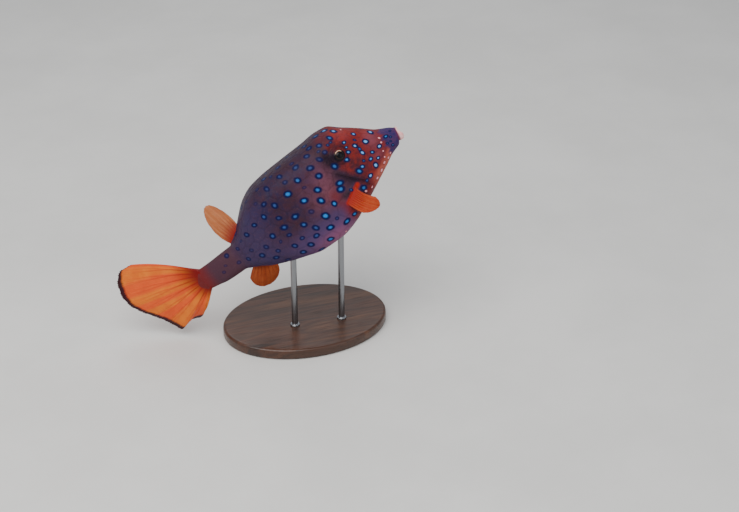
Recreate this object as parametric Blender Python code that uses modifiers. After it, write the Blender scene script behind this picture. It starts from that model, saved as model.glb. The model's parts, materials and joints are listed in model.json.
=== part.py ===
"""A still, life-size model of a yellow boxfish that swims upwards, held by two rods on a display stand.

The fish is built in its own axes, with +X to the head, +Y to its left, +Z to its back and the origin at the root
of the tail fin. An empty then lifts, pitches and banks it over the stand. The origin of the whole model is the
centre of the stand's underside. All sizes are in metres.
"""

import math

import bmesh
import bpy
import numpy as np
from mathutils import Matrix, Vector

# Driving dimensions
STANDARD_LENGTH = 0.230  # from the mouth to the root of the tail fin
MM = STANDARD_LENGTH / 230  # the tables below are in millimetres for a fish of that length
GAP = 0.0003  # kept between pieces that touch

# The pose over the stand
PITCH = math.radians(31.3)  # head up
BANK = math.radians(23.8)  # right side turned up
FISH_ORIGIN = (-0.098, 0.0, 0.070)  # where the root of the tail fin stands over the base

# Sections of the body: distance forward of the tail root, height of the back and of the belly over the axis, half
# width at the back's ridges and at the belly's ridges, and squareness (2 is an ellipse, more is boxier)
CARAPACE_SECTIONS = np.array(
    (
        (40, 14.0, -13.3, 12.5, 14.0, 2.6),
        (50, 19.0, -17.0, 20.0, 23.0, 3.0),
        (60, 28.0, -22.0, 27.0, 31.0, 3.6),
        (75, 39.0, -27.5, 33.5, 38.0, 4.2),
        (90, 44.5, -32.5, 36.5, 41.5, 4.6),
        (110, 46.5, -38.0, 38.0, 44.0, 4.8),
        (130, 47.0, -38.5, 38.0, 44.5, 4.8),
        (150, 47.5, -34.5, 36.5, 42.5, 4.6),
        (165, 48.0, -28.5, 34.0, 38.5, 4.4),
        (178, 46.5, -23.5, 30.5, 33.5, 4.0),
        (190, 38.5, -19.0, 25.0, 27.5, 3.4),
        (205, 26.8, -13.0, 17.0, 19.0, 2.8),
        (217, 17.2, -8.2, 11.5, 12.5, 2.3),
        (229, 10.9, -5.6, 8.0, 8.5, 2.1),
    )
)
PEDUNCLE_SECTIONS = np.array(
    (
        (-2, 12.5, -9.5, 4.0, 4.0, 2.2),
        (8, 12.6, -10.8, 5.5, 5.5, 2.2),
        (18, 12.9, -12.4, 7.5, 8.0, 2.3),
        (30, 13.4, -12.7, 10.0, 10.8, 2.4),
        (40, 13.3, -12.6, 11.7, 13.2, 2.5),
    )
)
CROWN = 2.5 * MM  # how far the back and the belly bulge between their ridges
FLANK_HOLLOW = 0.035  # how far the flanks are drawn in, as a share of the half width

# Where the body is parted
PEDUNCLE_END = 40 * MM
TAIL_ROOT = -2 * MM
SNOUT_START = 207 * MM
LIP_START = 228 * MM
HEAD_CUT_POINT = Vector((148 * MM, 0, 0))
HEAD_CUT_LEAN = math.radians(11.5)  # the cut runs from the nape back to the belly

# Plates of the shell: six-sided, five to a side of the body, so that its ridges fall at 2.5, 7.5, 12.5 and 17.5
PLATES_ROUND = 20
PLATES_PER_SIDE = 5
RIDGE_TURN = 2.5
PLATE_COLUMNS = 15
PLATE_LIFT = 0.0005  # how far each plate is raised
PLATE_FACE = 0.86  # the flat part of a plate, as a share of its width
PLATE_CROWDING = 0.7  # how strongly the columns crowd together where the body is slim

# Tail
TAIL_BEND = math.radians(20)  # to the fish's left, spread along the peduncle
# Each ray of the tail fin: its slope in degrees, its length in millimetres, and how far its tip is swept to the
# left, as a share of that length
TAIL_RAYS = (
    (37.5, 68, 0.02),
    (32.5, 81.5, 0.00),
    (25, 86.5, 0.00),
    (17.5, 87.5, 0.01),
    (10.5, 85, 0.03),
    (4, 79.5, 0.07),
    (-4, 72, 0.11),
    (-13, 67, 0.14),
    (-24, 65, 0.17),
    (-25.5, 51, 0.28),
    (-32, 45.5, 0.42),
    (-33, 30, 0.38),
)

# Other fins: the length of each ray, in millimetres
DORSAL_RAYS = (22, 31.5, 37, 39.5, 40, 39, 36.5, 32.5, 24)
ANAL_RAYS = (20, 30.5, 36.5, 39, 39, 37, 33, 27, 20)
PECTORAL_RAYS = (26.5, 30.5, 31.5, 32, 32, 31.8, 31, 29.5, 27, 23)

# Section of a fin
MEMBRANE_THICK = 0.0007
RAY_LIFT = 0.0008  # both faces together
RAY_FOOT = 0.22  # half the width of a ray, as a share of the step between two rays
FLESH_REACH = 0.3  # how far the fleshy root runs out, as a share of a ray
FIN_ROWS = (0, 0.1, 0.2, 0.32, 0.48, 0.66, 0.84, 1.0)

# Head
EYE_RADIUS = 0.0082
EYE_STATION, EYE_HEIGHT = 172.5 * MM, 25.5 * MM
EYE_SINK = 0.0052  # how deep the ball's centre lies under the flank
RIM_RADIUS, RIM_THICK = 0.0084, 0.0013
BROW = 0.5  # how much thicker the rim is over the eye
NOSTRIL_RADIUS = 0.0009
MOUTH_HEIGHT = 3.5 * MM
MOUTH_HALF_WIDTH = 0.0056
MOUTH_OPENING = 0.0010  # from the line of the mouth to each lip, in its middle
MOUTH_HOLLOW = 0.0034
LIP_THICK = {"lip_upper": 0.0019, "lip_lower": 0.0030}
LIP_TAPER = 0.6  # girth of a lip at the corner of the mouth
MOUTH_LEAN = 0.28  # how far the mouth leans forward towards its upper edge, as a share of the height
LEAN_START = 214 * MM

# Stand
BASE_LENGTH, BASE_WIDTH, BASE_THICK = 0.165, 0.120, 0.010
BASE_EDGE = 0.002
ROD_RADIUS = 0.003
ROD_STATIONS = (80 * MM, 130 * MM)

# name, base colour, roughness, metallic
FINISHES = {
    "body_skin": ((0.115, 0.060, 0.085), 0.45, 0.0),
    "face_skin": ((0.330, 0.070, 0.045), 0.45, 0.0),
    "snout_skin": ((0.050, 0.022, 0.080), 0.45, 0.0),
    "lip_flesh": ((0.560, 0.330, 0.330), 0.50, 0.0),
    "fin_membrane": ((0.720, 0.170, 0.050), 0.50, 0.0),
    "eye_ball": ((0.020, 0.020, 0.035), 0.12, 0.0),
    "base_wood": ((0.180, 0.085, 0.040), 0.45, 0.0),
    "rod_steel": ((0.560, 0.560, 0.570), 0.30, 1.0),
}


def smooth(at, stations, values):
    """A monotone cubic through the values, so that a profile never bulges between two stations."""
    step = np.diff(stations)
    slope = np.diff(values) / step
    tangent = np.zeros(len(values))
    before, after = slope[:-1], slope[1:]
    same_way = before * after > 0
    near, far = 2 * step[1:] + step[:-1], step[1:] + 2 * step[:-1]
    safe_before, safe_after = np.where(same_way, before, 1), np.where(same_way, after, 1)
    mean = (near + far) / (near / safe_before + far / safe_after)
    tangent[1:-1] = np.where(same_way, mean, 0)
    tangent[0], tangent[-1] = slope[0], slope[-1]
    at = np.clip(at, stations[0], stations[-1])
    k = np.clip(np.searchsorted(stations, at) - 1, 0, len(step) - 1)
    t = (at - stations[k]) / step[k]
    bend = values[k] * (1 + 2 * t) * (1 - t) ** 2 + values[k + 1] * t * t * (3 - 2 * t)
    return bend + step[k] * (tangent[k] * t * (1 - t) ** 2 - tangent[k + 1] * t * t * (1 - t))


def ring(sections, x, turns, fine=32):
    """Points of the section at x. turns counts plates from the middle of the back over the fish's right side."""
    back, belly, back_half, belly_half, square = (
        float(smooth(x / MM, sections[:, 0], sections[:, column])) for column in range(1, 6)
    )
    middle, half_height = (back + belly) / 2 * MM, (back - belly) / 2 * MM
    back_half, belly_half = back_half * MM, belly_half * MM
    crown = CROWN * min(1, max(0, (square - 2.4) / 2))
    turns = np.asarray(turns, float)
    along = (turns + RIDGE_TURN) % PLATES_ROUND
    side = (along // PLATES_PER_SIDE).astype(int)
    share = along % PLATES_PER_SIDE / PLATES_PER_SIDE
    points = np.empty((len(turns), 3))
    points[:, 0] = x
    for corner in range(4):
        angle = np.radians(45 + 90 * (corner + np.linspace(0, 1, fine)))
        across = np.sign(np.cos(angle)) * np.abs(np.cos(angle)) ** (2 / square)
        up = np.sign(np.sin(angle)) * np.abs(np.sin(angle)) ** (2 / square)
        half = belly_half + (back_half - belly_half) * (up + 1) / 2
        y = across * half * (1 - FLANK_HOLLOW * (1 - up**2) ** 2)
        z = middle + up * half_height + crown * (1 - across**2) * up
        reach = np.concatenate(([0], np.cumsum(np.hypot(np.diff(y), np.diff(z)))))
        here = side == corner
        points[here, 1] = np.interp(share[here] * reach[-1], reach, y)
        points[here, 2] = np.interp(share[here] * reach[-1], reach, z)
    return points


def column_stations():
    """Two matching rows of values: places counted in plate columns, and how far forward each of them lies."""
    stations = np.linspace(PEDUNCLE_END, SNOUT_START, 120)
    turns = np.arange(0, PLATES_ROUND, 0.5)
    girths = []
    for x in stations:
        points = ring(CARAPACE_SECTIONS, x, turns)
        girths.append(np.linalg.norm(points - np.roll(points, 1, axis=0), axis=1).sum())
    crowding = np.array(girths) ** -PLATE_CROWDING
    reach = np.concatenate(([0], np.cumsum((crowding[1:] + crowding[:-1]) / 2)))
    columns = reach / reach[-1] * (PLATE_COLUMNS - 1 / 3) - 1 / 3
    return columns, stations


def shell_mesh():
    """The closed shell from the peduncle to the snout, with every plate raised on it."""
    columns, stations = column_stations()

    def on_shell(column, turn, lift):
        x = float(np.interp(column, columns, stations))
        here = Vector(ring(CARAPACE_SECTIONS, x, [turn])[0])
        if not lift:
            return here
        fore, aft = (Vector(ring(CARAPACE_SECTIONS, x + step, [turn])[0]) for step in (MM, -MM))
        up, down = (Vector(p) for p in ring(CARAPACE_SECTIONS, x, [turn - 0.15, turn + 0.15]))
        normal = (up - down).cross(fore - aft).normalized()
        middle = Vector((x, 0, here.z * 0.1))
        if normal.dot(here - middle) < 0:
            normal = -normal
        return here + normal * lift

    points, faces, corners = [], [], {}

    def corner(third, half_turn):
        key = third, half_turn % (2 * PLATES_ROUND)
        if key not in corners:
            corners[key] = len(points)
            points.append(on_shell(third / 3, key[1] / 2, 0))
        return corners[key]

    last = 3 * (PLATE_COLUMNS - 1) + 1
    around = ((-2, 0), (-1, -1), (1, -1), (2, 0), (1, 1), (-1, 1))
    for column in range(PLATE_COLUMNS):
        for row in range(PLATES_ROUND):
            middle = 2 * row + column % 2
            outline = [(3 * column + a, middle + b) for a, b in around if -1 <= 3 * column + a <= last]
            centre_third = sum(a for a, b in outline) / len(outline)
            rim = [corner(*place) for place in outline]
            face = []
            for a, b in outline:
                face.append(len(points))
                column_at = (centre_third + (a - centre_third) * PLATE_FACE) / 3
                points.append(on_shell(column_at, (middle + (b - middle) * PLATE_FACE) / 2, PLATE_LIFT))
            hub = len(points)
            points.append(on_shell(centre_third / 3, middle / 2, PLATE_LIFT))
            for k in range(len(rim)):
                after = (k + 1) % len(rim)
                faces += [(rim[k], rim[after], face[after]), (rim[k], face[after], face[k])]
                faces.append((face[k], face[after], hub))
    for third in (-1, last):
        hub = len(points)
        ends = [corner(third, 2 * row + 1) for row in range(PLATES_ROUND)]
        points.append(sum((points[k] for k in ends), Vector()) / len(ends))
        faces += [(hub, ends[k], ends[(k + 1) % len(ends)]) for k in range(len(ends))]
    return outward(mesh_from("shell", points, faces))


def flank_point(x, height):
    """The point of the right flank at x and at that height over the axis, and the flank's normal there."""
    turns = np.linspace(RIDGE_TURN, RIDGE_TURN + PLATES_PER_SIDE, 81)
    here, ahead = (ring(CARAPACE_SECTIONS, at, turns) for at in (x, x + 1 * MM))
    turn = np.interp(-height, -here[:, 2], turns)
    low, high = (ring(CARAPACE_SECTIONS, x, [turn + step])[0] for step in (0.05, -0.05))
    fore = ring(CARAPACE_SECTIONS, x + 1 * MM, [turn])[0]
    point = Vector(ring(CARAPACE_SECTIONS, x, [turn])[0])
    normal = (Vector(fore) - point).cross(Vector(high) - Vector(low)).normalized()
    return point, normal if normal.y < 0 else -normal


def tail_bent(point):
    """A point of the peduncle, moved as the tail bends to the left."""
    x, y, z = point
    radius = (PEDUNCLE_END - TAIL_ROOT) / TAIL_BEND
    angle = (PEDUNCLE_END - x) / radius
    centre_x = PEDUNCLE_END - radius * math.sin(angle)
    centre_y = radius * (1 - math.cos(angle))
    return centre_x + y * math.sin(angle), centre_y + y * math.cos(angle), z


def make_material(name):
    colour, roughness, metallic = FINISHES[name]
    material = bpy.data.materials.new(name)
    material.use_nodes = True
    shader = material.node_tree.nodes["Principled BSDF"]
    shader.inputs["Base Color"].default_value = (*colour, 1)
    shader.inputs["Roughness"].default_value = roughness
    shader.inputs["Metallic"].default_value = metallic
    return material


def add_object(name, mesh, finish, collection, parent=None):
    obj = bpy.data.objects.new(name, mesh)
    collection.objects.link(obj)
    if finish:
        mesh.materials.clear()
        mesh.materials.append(bpy.data.materials.get(finish) or make_material(finish))
    obj.parent = parent
    return obj


def mesh_from(name, points, faces):
    mesh = bpy.data.meshes.new(name)
    mesh.from_pydata([tuple(p) for p in points], [], faces)
    mesh.validate()
    return mesh


def outward(mesh):
    """Turns every face of a closed mesh outwards."""
    bm = bmesh.new()
    bm.from_mesh(mesh)
    bmesh.ops.recalc_face_normals(bm, faces=bm.faces)
    if bm.calc_volume(signed=True) < 0:
        bmesh.ops.reverse_faces(bm, faces=bm.faces)
    bm.to_mesh(mesh)
    bm.free()
    return mesh


def loft(name, rings):
    """A closed mesh through rings of equally many points, with a fan at each end."""
    count = len(rings[0])
    points = [tuple(p) for r in rings for p in r]
    faces = []
    for k in range(len(rings) - 1):
        for j in range(count):
            after = (j + 1) % count
            faces.append((k * count + j, k * count + after, (k + 1) * count + after, (k + 1) * count + j))
    for k in (0, len(rings) - 1):
        points.append(tuple(np.mean(rings[k], axis=0)))
        faces += [(len(points) - 1, k * count + j, k * count + (j + 1) % count) for j in range(count)]
    return outward(mesh_from(name, points, faces))


def evaluated_mesh(obj):
    bpy.context.view_layer.update()
    graph = bpy.context.evaluated_depsgraph_get()
    return bpy.data.meshes.new_from_object(obj.evaluated_get(graph))


def largest_body(mesh):
    """Keeps the largest closed surface of a mesh."""
    bm = bmesh.new()
    bm.from_mesh(mesh)
    left, groups = set(bm.faces), []
    while left:
        group, todo = set(), [left.pop()]
        while todo:
            face = todo.pop()
            group.add(face)
            near = {other for edge in face.edges for other in edge.link_faces} & left
            left -= near
            todo += near
        groups.append(group)
    groups.sort(key=lambda group: sum(face.calc_area() for face in group))
    for group in groups[:-1]:
        bmesh.ops.delete(bm, geom=list(group), context="FACES")
    bm.to_mesh(mesh)
    bm.free()
    return mesh


def boolean(obj, others, operation, solver="EXACT"):
    """Joins or cuts obj with closed meshes in one step, then removes them."""
    tools = bpy.data.collections.new("tools")
    bpy.context.scene.collection.children.link(tools)
    for other in others:
        for holder in list(other.users_collection):
            holder.objects.unlink(other)
        tools.objects.link(other)
    modifier = obj.modifiers.new(operation.lower(), "BOOLEAN")
    modifier.operation = operation
    modifier.operand_type = "COLLECTION"
    modifier.collection = tools
    modifier.solver = solver
    made = evaluated_mesh(obj)
    obj.modifiers.clear()
    obj.data = largest_body(made)
    for other in others:
        bpy.data.objects.remove(other)
    bpy.data.collections.remove(tools)
    return obj


def cut_side(mesh, point, normal):
    """The part of a closed mesh behind a plane, closed again with a flat face."""
    bm = bmesh.new()
    bm.from_mesh(mesh)
    bmesh.ops.bisect_plane(
        bm, geom=bm.verts[:] + bm.edges[:] + bm.faces[:], plane_co=point, plane_no=normal, clear_outer=True
    )
    bmesh.ops.holes_fill(bm, edges=[edge for edge in bm.edges if edge.is_boundary])
    bmesh.ops.triangulate(bm, faces=[face for face in bm.faces if len(face.verts) > 4])
    cut = bpy.data.meshes.new("cut")
    bm.to_mesh(cut)
    bm.free()
    return outward(cut)


def swollen(obj, name):
    """A copy of a node that stands proud of it by the gap, used to trim what grows from it."""
    mesh = obj.data.copy()
    normals = [vertex.normal.copy() for vertex in mesh.vertices]
    for vertex, normal in zip(mesh.vertices, normals):
        vertex.co += normal * GAP
    copy = bpy.data.objects.new(name, mesh)
    bpy.context.scene.collection.objects.link(copy)
    copy.parent = obj.parent
    return copy


def ball(name, centre, radius, parent, segments=24, rings=16):
    bm = bmesh.new()
    bmesh.ops.create_uvsphere(bm, u_segments=segments, v_segments=rings, radius=radius)
    bmesh.ops.translate(bm, verts=bm.verts, vec=centre)
    mesh = bpy.data.meshes.new(name)
    bm.to_mesh(mesh)
    bm.free()
    obj = bpy.data.objects.new(name, mesh)
    bpy.context.scene.collection.objects.link(obj)
    obj.parent = parent
    return obj


def tube(name, path, radius, parent, closed=False, resolution=2, swell=None):
    """A round bar along a path, as a closed mesh. swell gives its girth at each point, as a share of radius."""
    curve = bpy.data.curves.new(name, "CURVE")
    curve.dimensions = "3D"
    curve.bevel_depth = radius
    curve.bevel_resolution = resolution
    curve.use_fill_caps = True
    spline = curve.splines.new("POLY")
    spline.points.add(len(path) - 1)
    for point, place, share in zip(spline.points, path, swell or [1] * len(path)):
        point.co = (*place, 1)
        point.radius = share
    spline.use_cyclic_u = closed
    guide = bpy.data.objects.new(name, curve)
    bpy.context.scene.collection.objects.link(guide)
    mesh = evaluated_mesh(guide)
    bpy.data.objects.remove(guide)
    bm = bmesh.new()
    bm.from_mesh(mesh)
    bmesh.ops.remove_doubles(bm, verts=bm.verts, dist=1e-6)
    bm.to_mesh(mesh)
    bm.free()
    obj = bpy.data.objects.new(name, outward(mesh))
    bpy.context.scene.collection.objects.link(obj)
    obj.parent = parent
    return obj


def mirrored(point):
    return Vector((point[0], -point[1], point[2]))


def make_body(fish, collection):
    """The carapace, head, snout and peduncle, parted by thin plane cuts."""
    round_turns = np.arange(0, PLATES_ROUND, 0.5)
    whole = shell_mesh()
    cut_normal = Vector((math.cos(HEAD_CUT_LEAN), 0, -math.sin(HEAD_CUT_LEAN)))
    half_gap = cut_normal * GAP / 2
    carapace = cut_side(whole, HEAD_CUT_POINT - half_gap, cut_normal)
    head = cut_side(whole, HEAD_CUT_POINT + half_gap, -cut_normal)
    snout_stations = np.linspace(SNOUT_START + GAP, LIP_START, 6)
    snout = loft("snout", [ring(CARAPACE_SECTIONS, x, round_turns) for x in snout_stations])
    tail_stations = np.linspace(PEDUNCLE_END - GAP, TAIL_ROOT, 7)
    peduncle = loft(
        "peduncle",
        [[tail_bent(p) for p in ring(PEDUNCLE_SECTIONS, x, round_turns)] for x in tail_stations],
    )
    return {
        "carapace": add_object("carapace", carapace, "body_skin", collection, fish),
        "head": add_object("head", head, "face_skin", collection, fish),
        "snout": add_object("snout", snout, "snout_skin", collection, fish),
        "caudal_peduncle": add_object("caudal_peduncle", peduncle, "body_skin", collection, fish),
    }


def shape_face(head, fish, collection):
    """Rims and sockets for the eyes, nostrils and gill slits, and the eyes themselves."""
    flank, outwards = flank_point(EYE_STATION, EYE_HEIGHT)
    centre = flank - outwards * EYE_SINK
    along = Vector((1, 0, 0))
    along = (along - outwards * along.dot(outwards)).normalized()
    upwards = outwards.cross(along)
    if upwards.z < 0:
        upwards = -upwards
    rim_path, brow = [], []
    for k in range(24):
        turn = 2 * math.pi * k / 24
        rim_path.append(flank + (along * math.cos(turn) + upwards * math.sin(turn)) * RIM_RADIUS)
        brow.append(1 + BROW * max(0, math.sin(turn)))
    nostrils = [flank_point(x * MM, z * MM) for x, z in ((190.5, 24.5), (193.5, 22.0))]
    gill_path = []
    for k in range(9):
        share = k / 8
        place, normal = flank_point((160 + 18 * share) * MM, (12.5 - 21 * share - 3 * share * (1 - share)) * MM)
        gill_path.append(place)
    for side in (Vector, mirrored):
        rim = tube("rim", [side(p) for p in rim_path], RIM_THICK, fish, closed=True, resolution=1, swell=brow)
        boolean(head, [rim], "UNION")
        cutters = [ball("socket", side(centre), EYE_RADIUS + GAP, fish)]
        cutters += [ball("nostril", side(place), NOSTRIL_RADIUS, fish, 8, 6) for place, normal in nostrils]
        cutters.append(tube("gill", [side(p) for p in gill_path], 0.0011, fish, resolution=1))
        boolean(head, cutters, "DIFFERENCE")
    for name, side in (("eye_right", Vector), ("eye_left", mirrored)):
        eye = ball(name, side(centre), EYE_RADIUS, fish, 22, 14)
        mesh = eye.data
        bpy.data.objects.remove(eye)
        add_object(name, mesh, "eye_ball", collection, fish)


def make_mouth(snout, fish, collection):
    """Two lips round a slightly open mouth, with the mouth's hollow behind them."""
    cavity = ball("cavity", Vector((LIP_START, 0, MOUTH_HEIGHT)), MOUTH_HOLLOW, fish, 16, 10)
    boolean(snout, [cavity], "DIFFERENCE")
    for name, way in (("lip_upper", 1), ("lip_lower", -1)):
        thick = LIP_THICK[name]
        path, swell = [], []
        for k in range(13):
            turn = math.pi * k / 12
            share = LIP_TAPER + (1 - LIP_TAPER) * math.sin(turn)
            up = thick * share + GAP / 2 + MOUTH_OPENING * math.sin(turn)
            path.append(
                Vector((LIP_START + GAP + thick, MOUTH_HALF_WIDTH * math.cos(turn), MOUTH_HEIGHT + way * up))
            )
            swell.append(share)
        lip = tube(name, path, thick, fish, swell=swell)
        mesh = lip.data
        bpy.data.objects.remove(lip)
        lean_forward(mesh)
        add_object(name, mesh, "lip_flesh", collection, fish)
    lean_forward(snout.data)


def lean_forward(mesh):
    """Leans the end of the snout and what it carries, so that the upper edge of the mouth is further forward."""
    for vertex in mesh.vertices:
        share = min(1, max(0, (vertex.co.x - LEAN_START) / (LIP_START - LEAN_START)))
        vertex.co.x += MOUTH_LEAN * vertex.co.z * share * share * (3 - 2 * share)


def fin_sheet(name, roots, ways, lengths, curls, bows, flesh):
    """A fin as a sheet between its first and last ray, thick at the root, with its rays raised on both faces.

    roots is the line of the root, and ways gives the heading of rays at equal steps along it. lengths has one value
    for each ray, in millimetres. curls is how far rays bend aside at their tips and bows how far they bend aside at
    their middle, as shares of their length. Returns the mesh and the thickness at each of its points.
    """
    last = len(lengths) - 1
    columns = []
    for ray in range(last + 1):
        columns += [(ray - RAY_FOOT, 0), (ray, 1), (ray + RAY_FOOT, 0)]
    columns = [(place / last, crest) for place, crest in columns if 0 <= place <= last]

    def between(places, at):
        steps = np.linspace(0, 1, len(places))
        return Vector([float(np.interp(at, steps, [place[axis] for place in places])) for axis in range(3)])

    points, thicknesses = [], []
    for at, crest in columns:
        root, way = between(roots, at), between(ways, at).normalized()
        curl, bow = between(curls, at), between(bows, at)
        length = float(smooth(at, np.linspace(0, 1, last + 1), np.array(lengths, float))) * MM
        for r in FIN_ROWS:
            points.append(root + (way * r + curl * r * r + bow * 4 * r * (1 - r)) * length)
            meat = flesh * max(0, 1 - r / FLESH_REACH) ** 2
            ray_here = crest * RAY_LIFT * (1 - 0.5 * r) * min(1, r / FLESH_REACH + 0.3)
            thicknesses.append(meat + MEMBRANE_THICK + ray_here)
    rows = len(FIN_ROWS)
    faces = []
    for i in range(len(columns) - 1):
        for j in range(rows - 1):
            a, b = i * rows + j, (i + 1) * rows + j
            faces += [(a, b, b + 1), (a, b + 1, a + 1)]
    return mesh_from(name, points, faces), thicknesses


def add_fin(name, fish, collection, roots, ways, lengths, curls, bows, flesh=0.0045):
    """A fin node, as a sheet given its thickness point by point."""
    mesh, thicknesses = fin_sheet(name, roots, ways, lengths, curls, bows, flesh)
    fin = add_object(name, mesh, "fin_membrane", collection, fish)
    group = fin.vertex_groups.new(name="thickness")
    most = max(thicknesses)
    for index, thickness in enumerate(thicknesses):
        group.add([index], thickness / most, "REPLACE")
    solidify = fin.modifiers.new("membrane", "SOLIDIFY")
    solidify.thickness = most
    solidify.offset = 0
    solidify.vertex_group = group.name
    made = evaluated_mesh(fin)
    fin.modifiers.clear()
    fin.vertex_groups.clear()
    fin.data = outward(made)
    return fin


def make_fins(body, fish, collection):
    """The five fins, each rooted face to face with what it grows from."""
    sink = 2.5 * MM

    def on_back(x, turn):
        here = Vector(ring(CARAPACE_SECTIONS, x, [turn])[0])
        ahead = Vector(ring(CARAPACE_SECTIONS, x + MM, [turn])[0])
        slope = (ahead - here).normalized()
        normal = Vector((-slope.z, 0, slope.x)) * (1 if turn == 0 else -1)
        return here - normal * sink

    dorsal = add_fin(
        "dorsal_fin",
        fish,
        collection,
        roots=[on_back(54.5 * MM, 0), on_back(41 * MM, 0)],
        ways=[(-0.09, 0.24, 1.0), (-0.18, 0.24, 1.0), (-0.25, 0.24, 0.95)],
        lengths=DORSAL_RAYS,
        curls=[(-0.06, 0.08, 0), (-0.05, 0.08, 0)],
        bows=[(0.045, 0, 0), (-0.10, 0, 0)],
    )
    anal = add_fin(
        "anal_fin",
        fish,
        collection,
        roots=[on_back(63 * MM, PLATES_ROUND / 2), on_back(46 * MM, PLATES_ROUND / 2)],
        ways=[(-0.05, 0.78, -0.72), (-0.34, 0.72, -0.68), (-0.58, 0.68, -0.62)],
        lengths=ANAL_RAYS,
        curls=[(-0.06, 0.10, 0), (-0.10, 0.10, 0)],
        bows=[(0.05, 0, 0), (-0.06, 0, 0)],
    )
    for fin in (dorsal, anal):
        boolean(fin, [swollen(body["carapace"], "trim")], "DIFFERENCE")
    upper, lower = flank_point(168 * MM, -2 * MM), flank_point(151 * MM, -10.5 * MM)
    fin_ways = {
        "pectoral_fin_right": (Vector, [(-0.12, -0.50, -0.80), (0.14, -0.50, -0.76), (0.26, -0.50, -0.74)]),
        "pectoral_fin_left": (mirrored, [(-0.10, -0.70, -0.60), (0.10, -0.65, -0.65), (0.15, -0.60, -0.70)]),
    }
    for name, (side, ways) in fin_ways.items():
        fin = add_fin(
            name,
            fish,
            collection,
            roots=[side(place - normal * sink) for place, normal in (upper, lower)],
            ways=[side(way) for way in ways],
            lengths=PECTORAL_RAYS,
            curls=[side((0.48, 0.04, 0.0)), side((0.32, 0.04, 0.0)), side((0.06, 0.04, 0.0))],
            bows=[Vector(), Vector((-0.02, 0, -0.02))],
        )
        for part in ("carapace", "head"):
            boolean(fin, [swollen(body[part], "trim")], "DIFFERENCE")
    make_tail_fin(body["caudal_peduncle"], sink, fish, collection)


def make_tail_fin(peduncle, sink, fish, collection):
    """The tail fin, with its lower rays swept to the left."""
    tail_way = Vector((-math.cos(TAIL_BEND), math.sin(TAIL_BEND), 0))
    left = Vector((math.sin(TAIL_BEND), math.cos(TAIL_BEND), 0))
    end = Vector(tail_bent((TAIL_ROOT, 0, 0))) - tail_way * sink
    angles, lengths, shares = zip(*TAIL_RAYS)
    fin = add_fin(
        "caudal_fin",
        fish,
        collection,
        roots=[end + Vector((0, 0, 11.3 * MM)), end + Vector((0, 0, -8.5 * MM))],
        ways=[tail_way * math.cos(angle) + Vector((0, 0, math.sin(angle))) for angle in np.radians(angles)],
        lengths=lengths,
        curls=[left * share for share in shares],
        bows=[(0, 0, 0.055), (0, 0, 0), (0, 0, -0.055)],
        flesh=0.006,
    )
    boolean(fin, [swollen(peduncle, "trim")], "DIFFERENCE")


def make_stand(body, collection):
    """A flat oval base and two rods that reach the belly."""
    outline = bpy.data.curves.new("outline", "CURVE")
    outline.dimensions = "2D"
    outline.fill_mode = "BOTH"
    outline.extrude = BASE_THICK / 2 - BASE_EDGE
    outline.bevel_depth = BASE_EDGE
    outline.bevel_resolution = 1
    outline.offset = -BASE_EDGE
    spline = outline.splines.new("POLY")
    corners = 48
    spline.points.add(corners - 1)
    for k, point in enumerate(spline.points):
        turn = 2 * math.pi * k / corners
        point.co = (BASE_LENGTH / 2 * math.cos(turn), BASE_WIDTH / 2 * math.sin(turn), 0, 1)
    spline.use_cyclic_u = True
    guide = bpy.data.objects.new("outline", outline)
    bpy.context.scene.collection.objects.link(guide)
    guide.location.z = BASE_THICK / 2
    bpy.context.view_layer.update()
    mesh = evaluated_mesh(guide)
    mesh.transform(guide.matrix_world)
    bpy.data.objects.remove(guide)
    bm = bmesh.new()
    bm.from_mesh(mesh)
    bmesh.ops.remove_doubles(bm, verts=bm.verts, dist=1e-6)
    bm.to_mesh(mesh)
    bm.free()
    add_object("stand_base", outward(mesh), "base_wood", collection)
    fish = body["carapace"].parent
    bpy.context.view_layer.update()
    for name, station in zip(("stand_rod_rear", "stand_rod_front"), ROD_STATIONS):
        top = fish.matrix_world @ Vector(ring(CARAPACE_SECTIONS, station, [PLATES_ROUND / 2])[0])
        low = BASE_THICK + GAP
        high = top.z + 0.006
        bm = bmesh.new()
        bmesh.ops.create_cone(
            bm, cap_ends=True, segments=20, radius1=ROD_RADIUS, radius2=ROD_RADIUS, depth=high - low
        )
        bmesh.ops.translate(bm, verts=bm.verts, vec=(top.x, top.y, (low + high) / 2))
        mesh = bpy.data.meshes.new(name)
        bm.to_mesh(mesh)
        bm.free()
        rod = add_object(name, mesh, "rod_steel", collection)
        boolean(rod, [swollen(body["carapace"], "trim")], "DIFFERENCE")


def shade(collection):
    for obj in collection.objects:
        if obj.type == "MESH":
            obj.data.shade_smooth()
            obj.data.set_sharp_from_angle(angle=math.radians(40))


def main():
    for obj in list(bpy.data.objects):
        bpy.data.objects.remove(obj)
    collection = bpy.data.collections.new("yellow_boxfish")
    bpy.context.scene.collection.children.link(collection)
    fish = bpy.data.objects.new("fish_pose", None)
    collection.objects.link(fish)
    fish.matrix_world = (
        Matrix.Translation(FISH_ORIGIN) @ Matrix.Rotation(-PITCH, 4, "Y") @ Matrix.Rotation(-BANK, 4, "X")
    )
    bpy.context.view_layer.update()
    body = make_body(fish, collection)
    shape_face(body["head"], fish, collection)
    make_mouth(body["snout"], fish, collection)
    make_fins(body, fish, collection)
    make_stand(body, collection)
    shade(collection)


main()
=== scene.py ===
# %% [markdown]
# # A life-size boxfish on a display stand
#
# The object is a still museum model of an adult boxfish: a rigid shell of six-sided plates, a short bendable tail
# stem, five small fins and a pursed mouth, held over an oval wooden base by two steel rods.
#
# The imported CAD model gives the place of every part. This script dresses it: one fine skin covers the whole body, so
# that no seam shows, and the fins, eyes, base and rods are rebuilt with the detail that a close look needs.

import json
import math
import random

import bmesh
import bpy
import numpy as np
from mathutils import Matrix, Vector

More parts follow.
